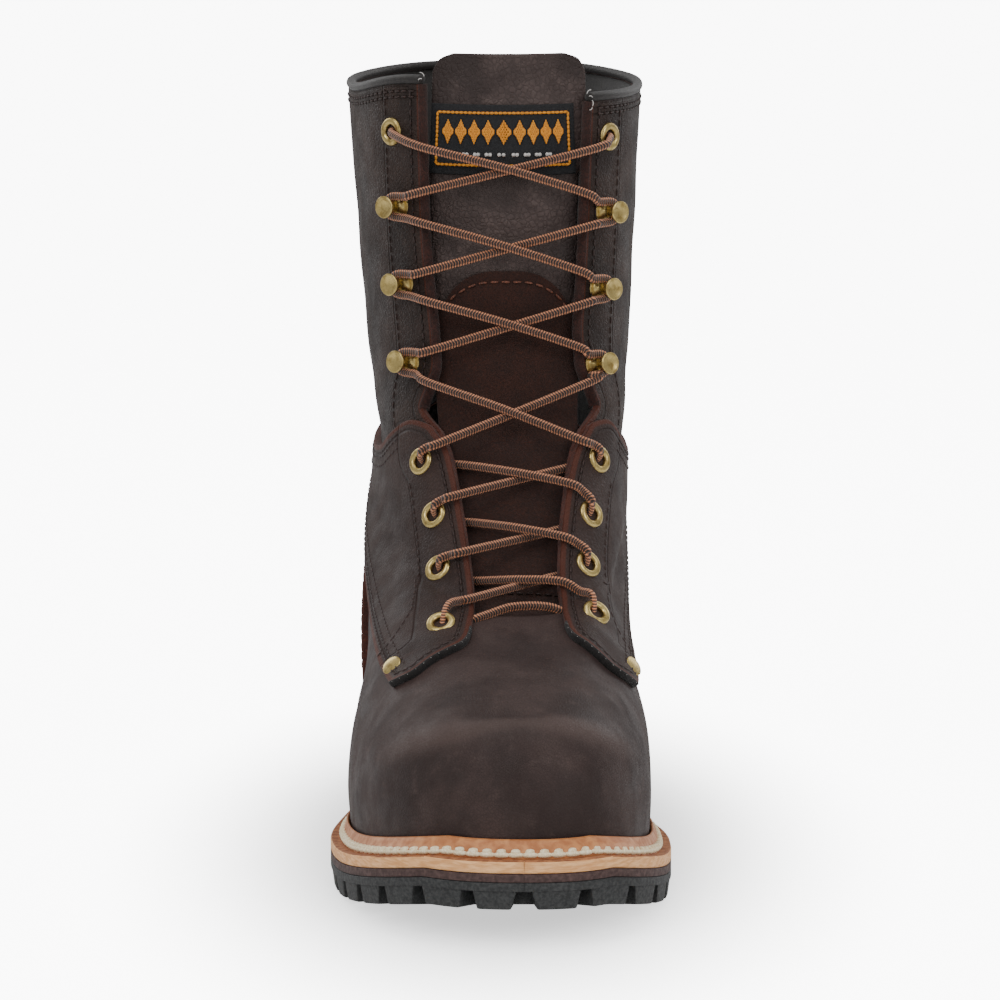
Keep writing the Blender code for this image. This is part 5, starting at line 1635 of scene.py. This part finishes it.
def middle_block(start, stop):
    """A block of the middle between two lines across the sole, measured from the heel."""
    def rule(along, inward, down):
        wide = (LUG_GAP_TOP + (LUG_GAP_BOTTOM - LUG_GAP_TOP) * down) * 1.3 / 2
        far = start + (stop - start) * along
        far += wide * ((1 - along) * (start > LUG_LINES[0]) - along * (stop < LUG_LINES[-1]))
        y = SHIFT[1] - far
        ends = [float(np.interp(y, inner_edge[side][:, 1], inner_edge[side][:, 0])) for side in (1, -1)]
        x = ends[0] + (ends[1] - ends[0]) * inward
        return x, y, roof_at((x, y)) - down * LUG_DROP
    return rule


nose = SHIFT[1] - float(inner_edge[1][:, 1].min()) - 0.0006
LUG_LINES = [LAST_LENGTH * LUGS_START, *(LAST_LENGTH * (0.49 + 0.45 * k / 5) for k in range(6)), nose]
rules = [middle_block(a, b) for a, b in zip(LUG_LINES, LUG_LINES[1:]) if b - a > 0.006]
middle_lugs = blocks("middle_lugs", rules, 8)
print("middle lugs:", len(rules))

# %% Heel
HEEL_TOP = HEEL_SEAT - BASE_DROP
heel_turn = angle_at(HEEL_LENGTH / LAST_LENGTH)


def heel_shell(name, high, low, inset_high, inset_low):
    """A slice of the heel, from the arc round the back to its straight front face."""
    round_off, part = 0.0008, 0.0008 * 0.3
    half = np.linspace(heel_turn, math.pi, 90)
    turn = np.concatenate((half, -half[::-1][1:]))
    steps = (
        (high, inset_high + round_off), (high - part, inset_high + part), (high - round_off, inset_high),
        ((high + low) / 2, (inset_high + inset_low) / 2),
        (low + round_off, inset_low), (low + part, inset_low + part), (low, inset_low + round_off),
    )
    rings = []
    for height, inset in steps:
        edge = sole_edge(turn, inset)
        edge[:, 2] = height
        rings.append(edge)
    count = len(turn)
    faces = []
    for row in range(len(rings) - 1):
        low_row, high_row = row * count, (row + 1) * count
        for k in range(count):
            after = (k + 1) % count
            faces.append((low_row + k, low_row + after, high_row + after, high_row + k))
    faces += [tuple(range(count))[::-1], tuple((len(rings) - 1) * count + k for k in range(count))]
    piece = joined_mesh(name, np.vstack(rings), faces, rubber)
    piece.data.set_sharp_from_angle(angle=math.radians(40))
    return piece


def taper_at(height):
    """How far in the heel's side is at a height."""
    return HEEL_TAPER * (1 - height / HEEL_TOP)


split = HEEL_LUG_DEPTH
heel_body = heel_shell("heel_body", HEEL_TOP - 0.0002, split - 0.0006, 0.0, taper_at(split))
heel_core = heel_shell("heel_core", split, 0.0008, HEEL_LUG_REACH, HEEL_LUG_REACH + 0.0008)
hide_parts("heel")
HEEL_ARM = 0.036
HEEL_GAPS = (132, 152, 180, 208, 228)
ends = [heel_turn, *(math.radians(degrees) for degrees in HEEL_GAPS), 2 * math.pi - heel_turn]


def heel_lug(first, last):
    """A lug between two gaps of the heel, whose widths are angles over HEEL_ARM."""
    def rule(along, inward, down):
        wide = (LUG_GAP_TOP + (LUG_GAP_BOTTOM - LUG_GAP_TOP) * down) * 0.85 / 2
        start = first + wide / HEEL_ARM * (first > ends[0])
        stop = last - wide / HEEL_ARM * (last < ends[-1])
        turn = start + (stop - start) * along
        inset = taper_at(split * (1 - down)) + (HEEL_LUG_REACH + 0.0012) * inward
        place = sole_edge(np.array([turn]), inset)[0]
        return place[0], place[1], split * (1 - down) + 0.0002 * down
    return rule


heel_lugs = blocks("heel_lugs", [heel_lug(a, b) for a, b in zip(ends, ends[1:])], 8)

# %% [markdown]
# Plain studio light over a pale floor.

# %% Light and floor
def area(name, place, aim, size, power):
    lamp = bpy.data.lights.new(name, "AREA")
    lamp.shape = "RECTANGLE"
    lamp.size, lamp.size_y = size
    lamp.energy = power
    made = bpy.data.objects.new(name, lamp)
    made.location = place
    made.rotation_euler = (Vector(aim) - Vector(place)).to_track_quat("-Z", "Y").to_euler()
    scene.collection.objects.link(made)


area("key_light", (-1.1, -1.3, 1.5), (0, 0, 0.12), (1.1, 1.1), 15.0)
area("fill_light", (1.3, -1.2, 1.1), (0, 0, 0.12), (1.0, 1.0), 11.0)
area("top_light", (0.0, -0.2, 1.8), (0, 0, 0.1), (1.2, 1.2), 8.0)
area("back_left", (-0.8, 0.9, 0.7), (0, 0, 0.15), (0.5, 0.9), 3.5)
area("back_right", (0.8, 0.9, 0.7), (0, 0, 0.15), (0.5, 0.9), 3.5)
WHITE = 9.0
SOFT_LIGHT = 0.55
world = bpy.data.worlds.new("studio")
world.use_nodes = True
# The backdrop is seen as white, and lights the boot softly.
tree = world.node_tree
seen = tree.nodes.new("ShaderNodeLightPath").outputs["Is Camera Ray"]
tree.nodes["Background"].inputs["Color"].default_value = (1.0, 1.0, 1.0, 1.0)
tree.links.new(span(tree, seen, 0.0, 1.0, SOFT_LIGHT, WHITE), tree.nodes["Background"].inputs["Strength"])
scene.world = world

bm = bmesh.new()
bmesh.ops.create_grid(bm, x_segments=2, y_segments=2, size=6.0)
floor_paint, floor_shader = new_paint("floor", Base_Color=(0.9, 0.9, 0.9, 1.0), Roughness=0.9,
                                      Specular_IOR_Level=0.1)
tree = floor_paint.node_tree
# The floor glows for the camera only, a painted brightness: full white away from the boot and much less near it,
# where the lamps' shadow shows.
flat = node(tree, "VectorMath", {0: place_of(tree), 1: (1.0, 0.45, 1.0)}, operation="MULTIPLY")
away = node(tree, "VectorMath", {0: flat}, output="Value", operation="LENGTH")
seen = node(tree, "LightPath", {}, output="Is Camera Ray")
glow = maths(tree, "MULTIPLY", span(tree, away, 0.05, 0.15, 1.0, WHITE), seen)
tree.links.new(glow, floor_shader.inputs["Emission Strength"])
floor_shader.inputs["Emission Color"].default_value = (1.0, 1.0, 1.0, 1.0)
mesh = bpy.data.meshes.new("floor")
bm.to_mesh(mesh)
bm.free()
mesh.materials.append(floor_paint)
mesh.shade_smooth()
floor = bpy.data.objects.new("floor", mesh)
scene.collection.objects.link(floor)
print("lights:", len(bpy.data.lights))
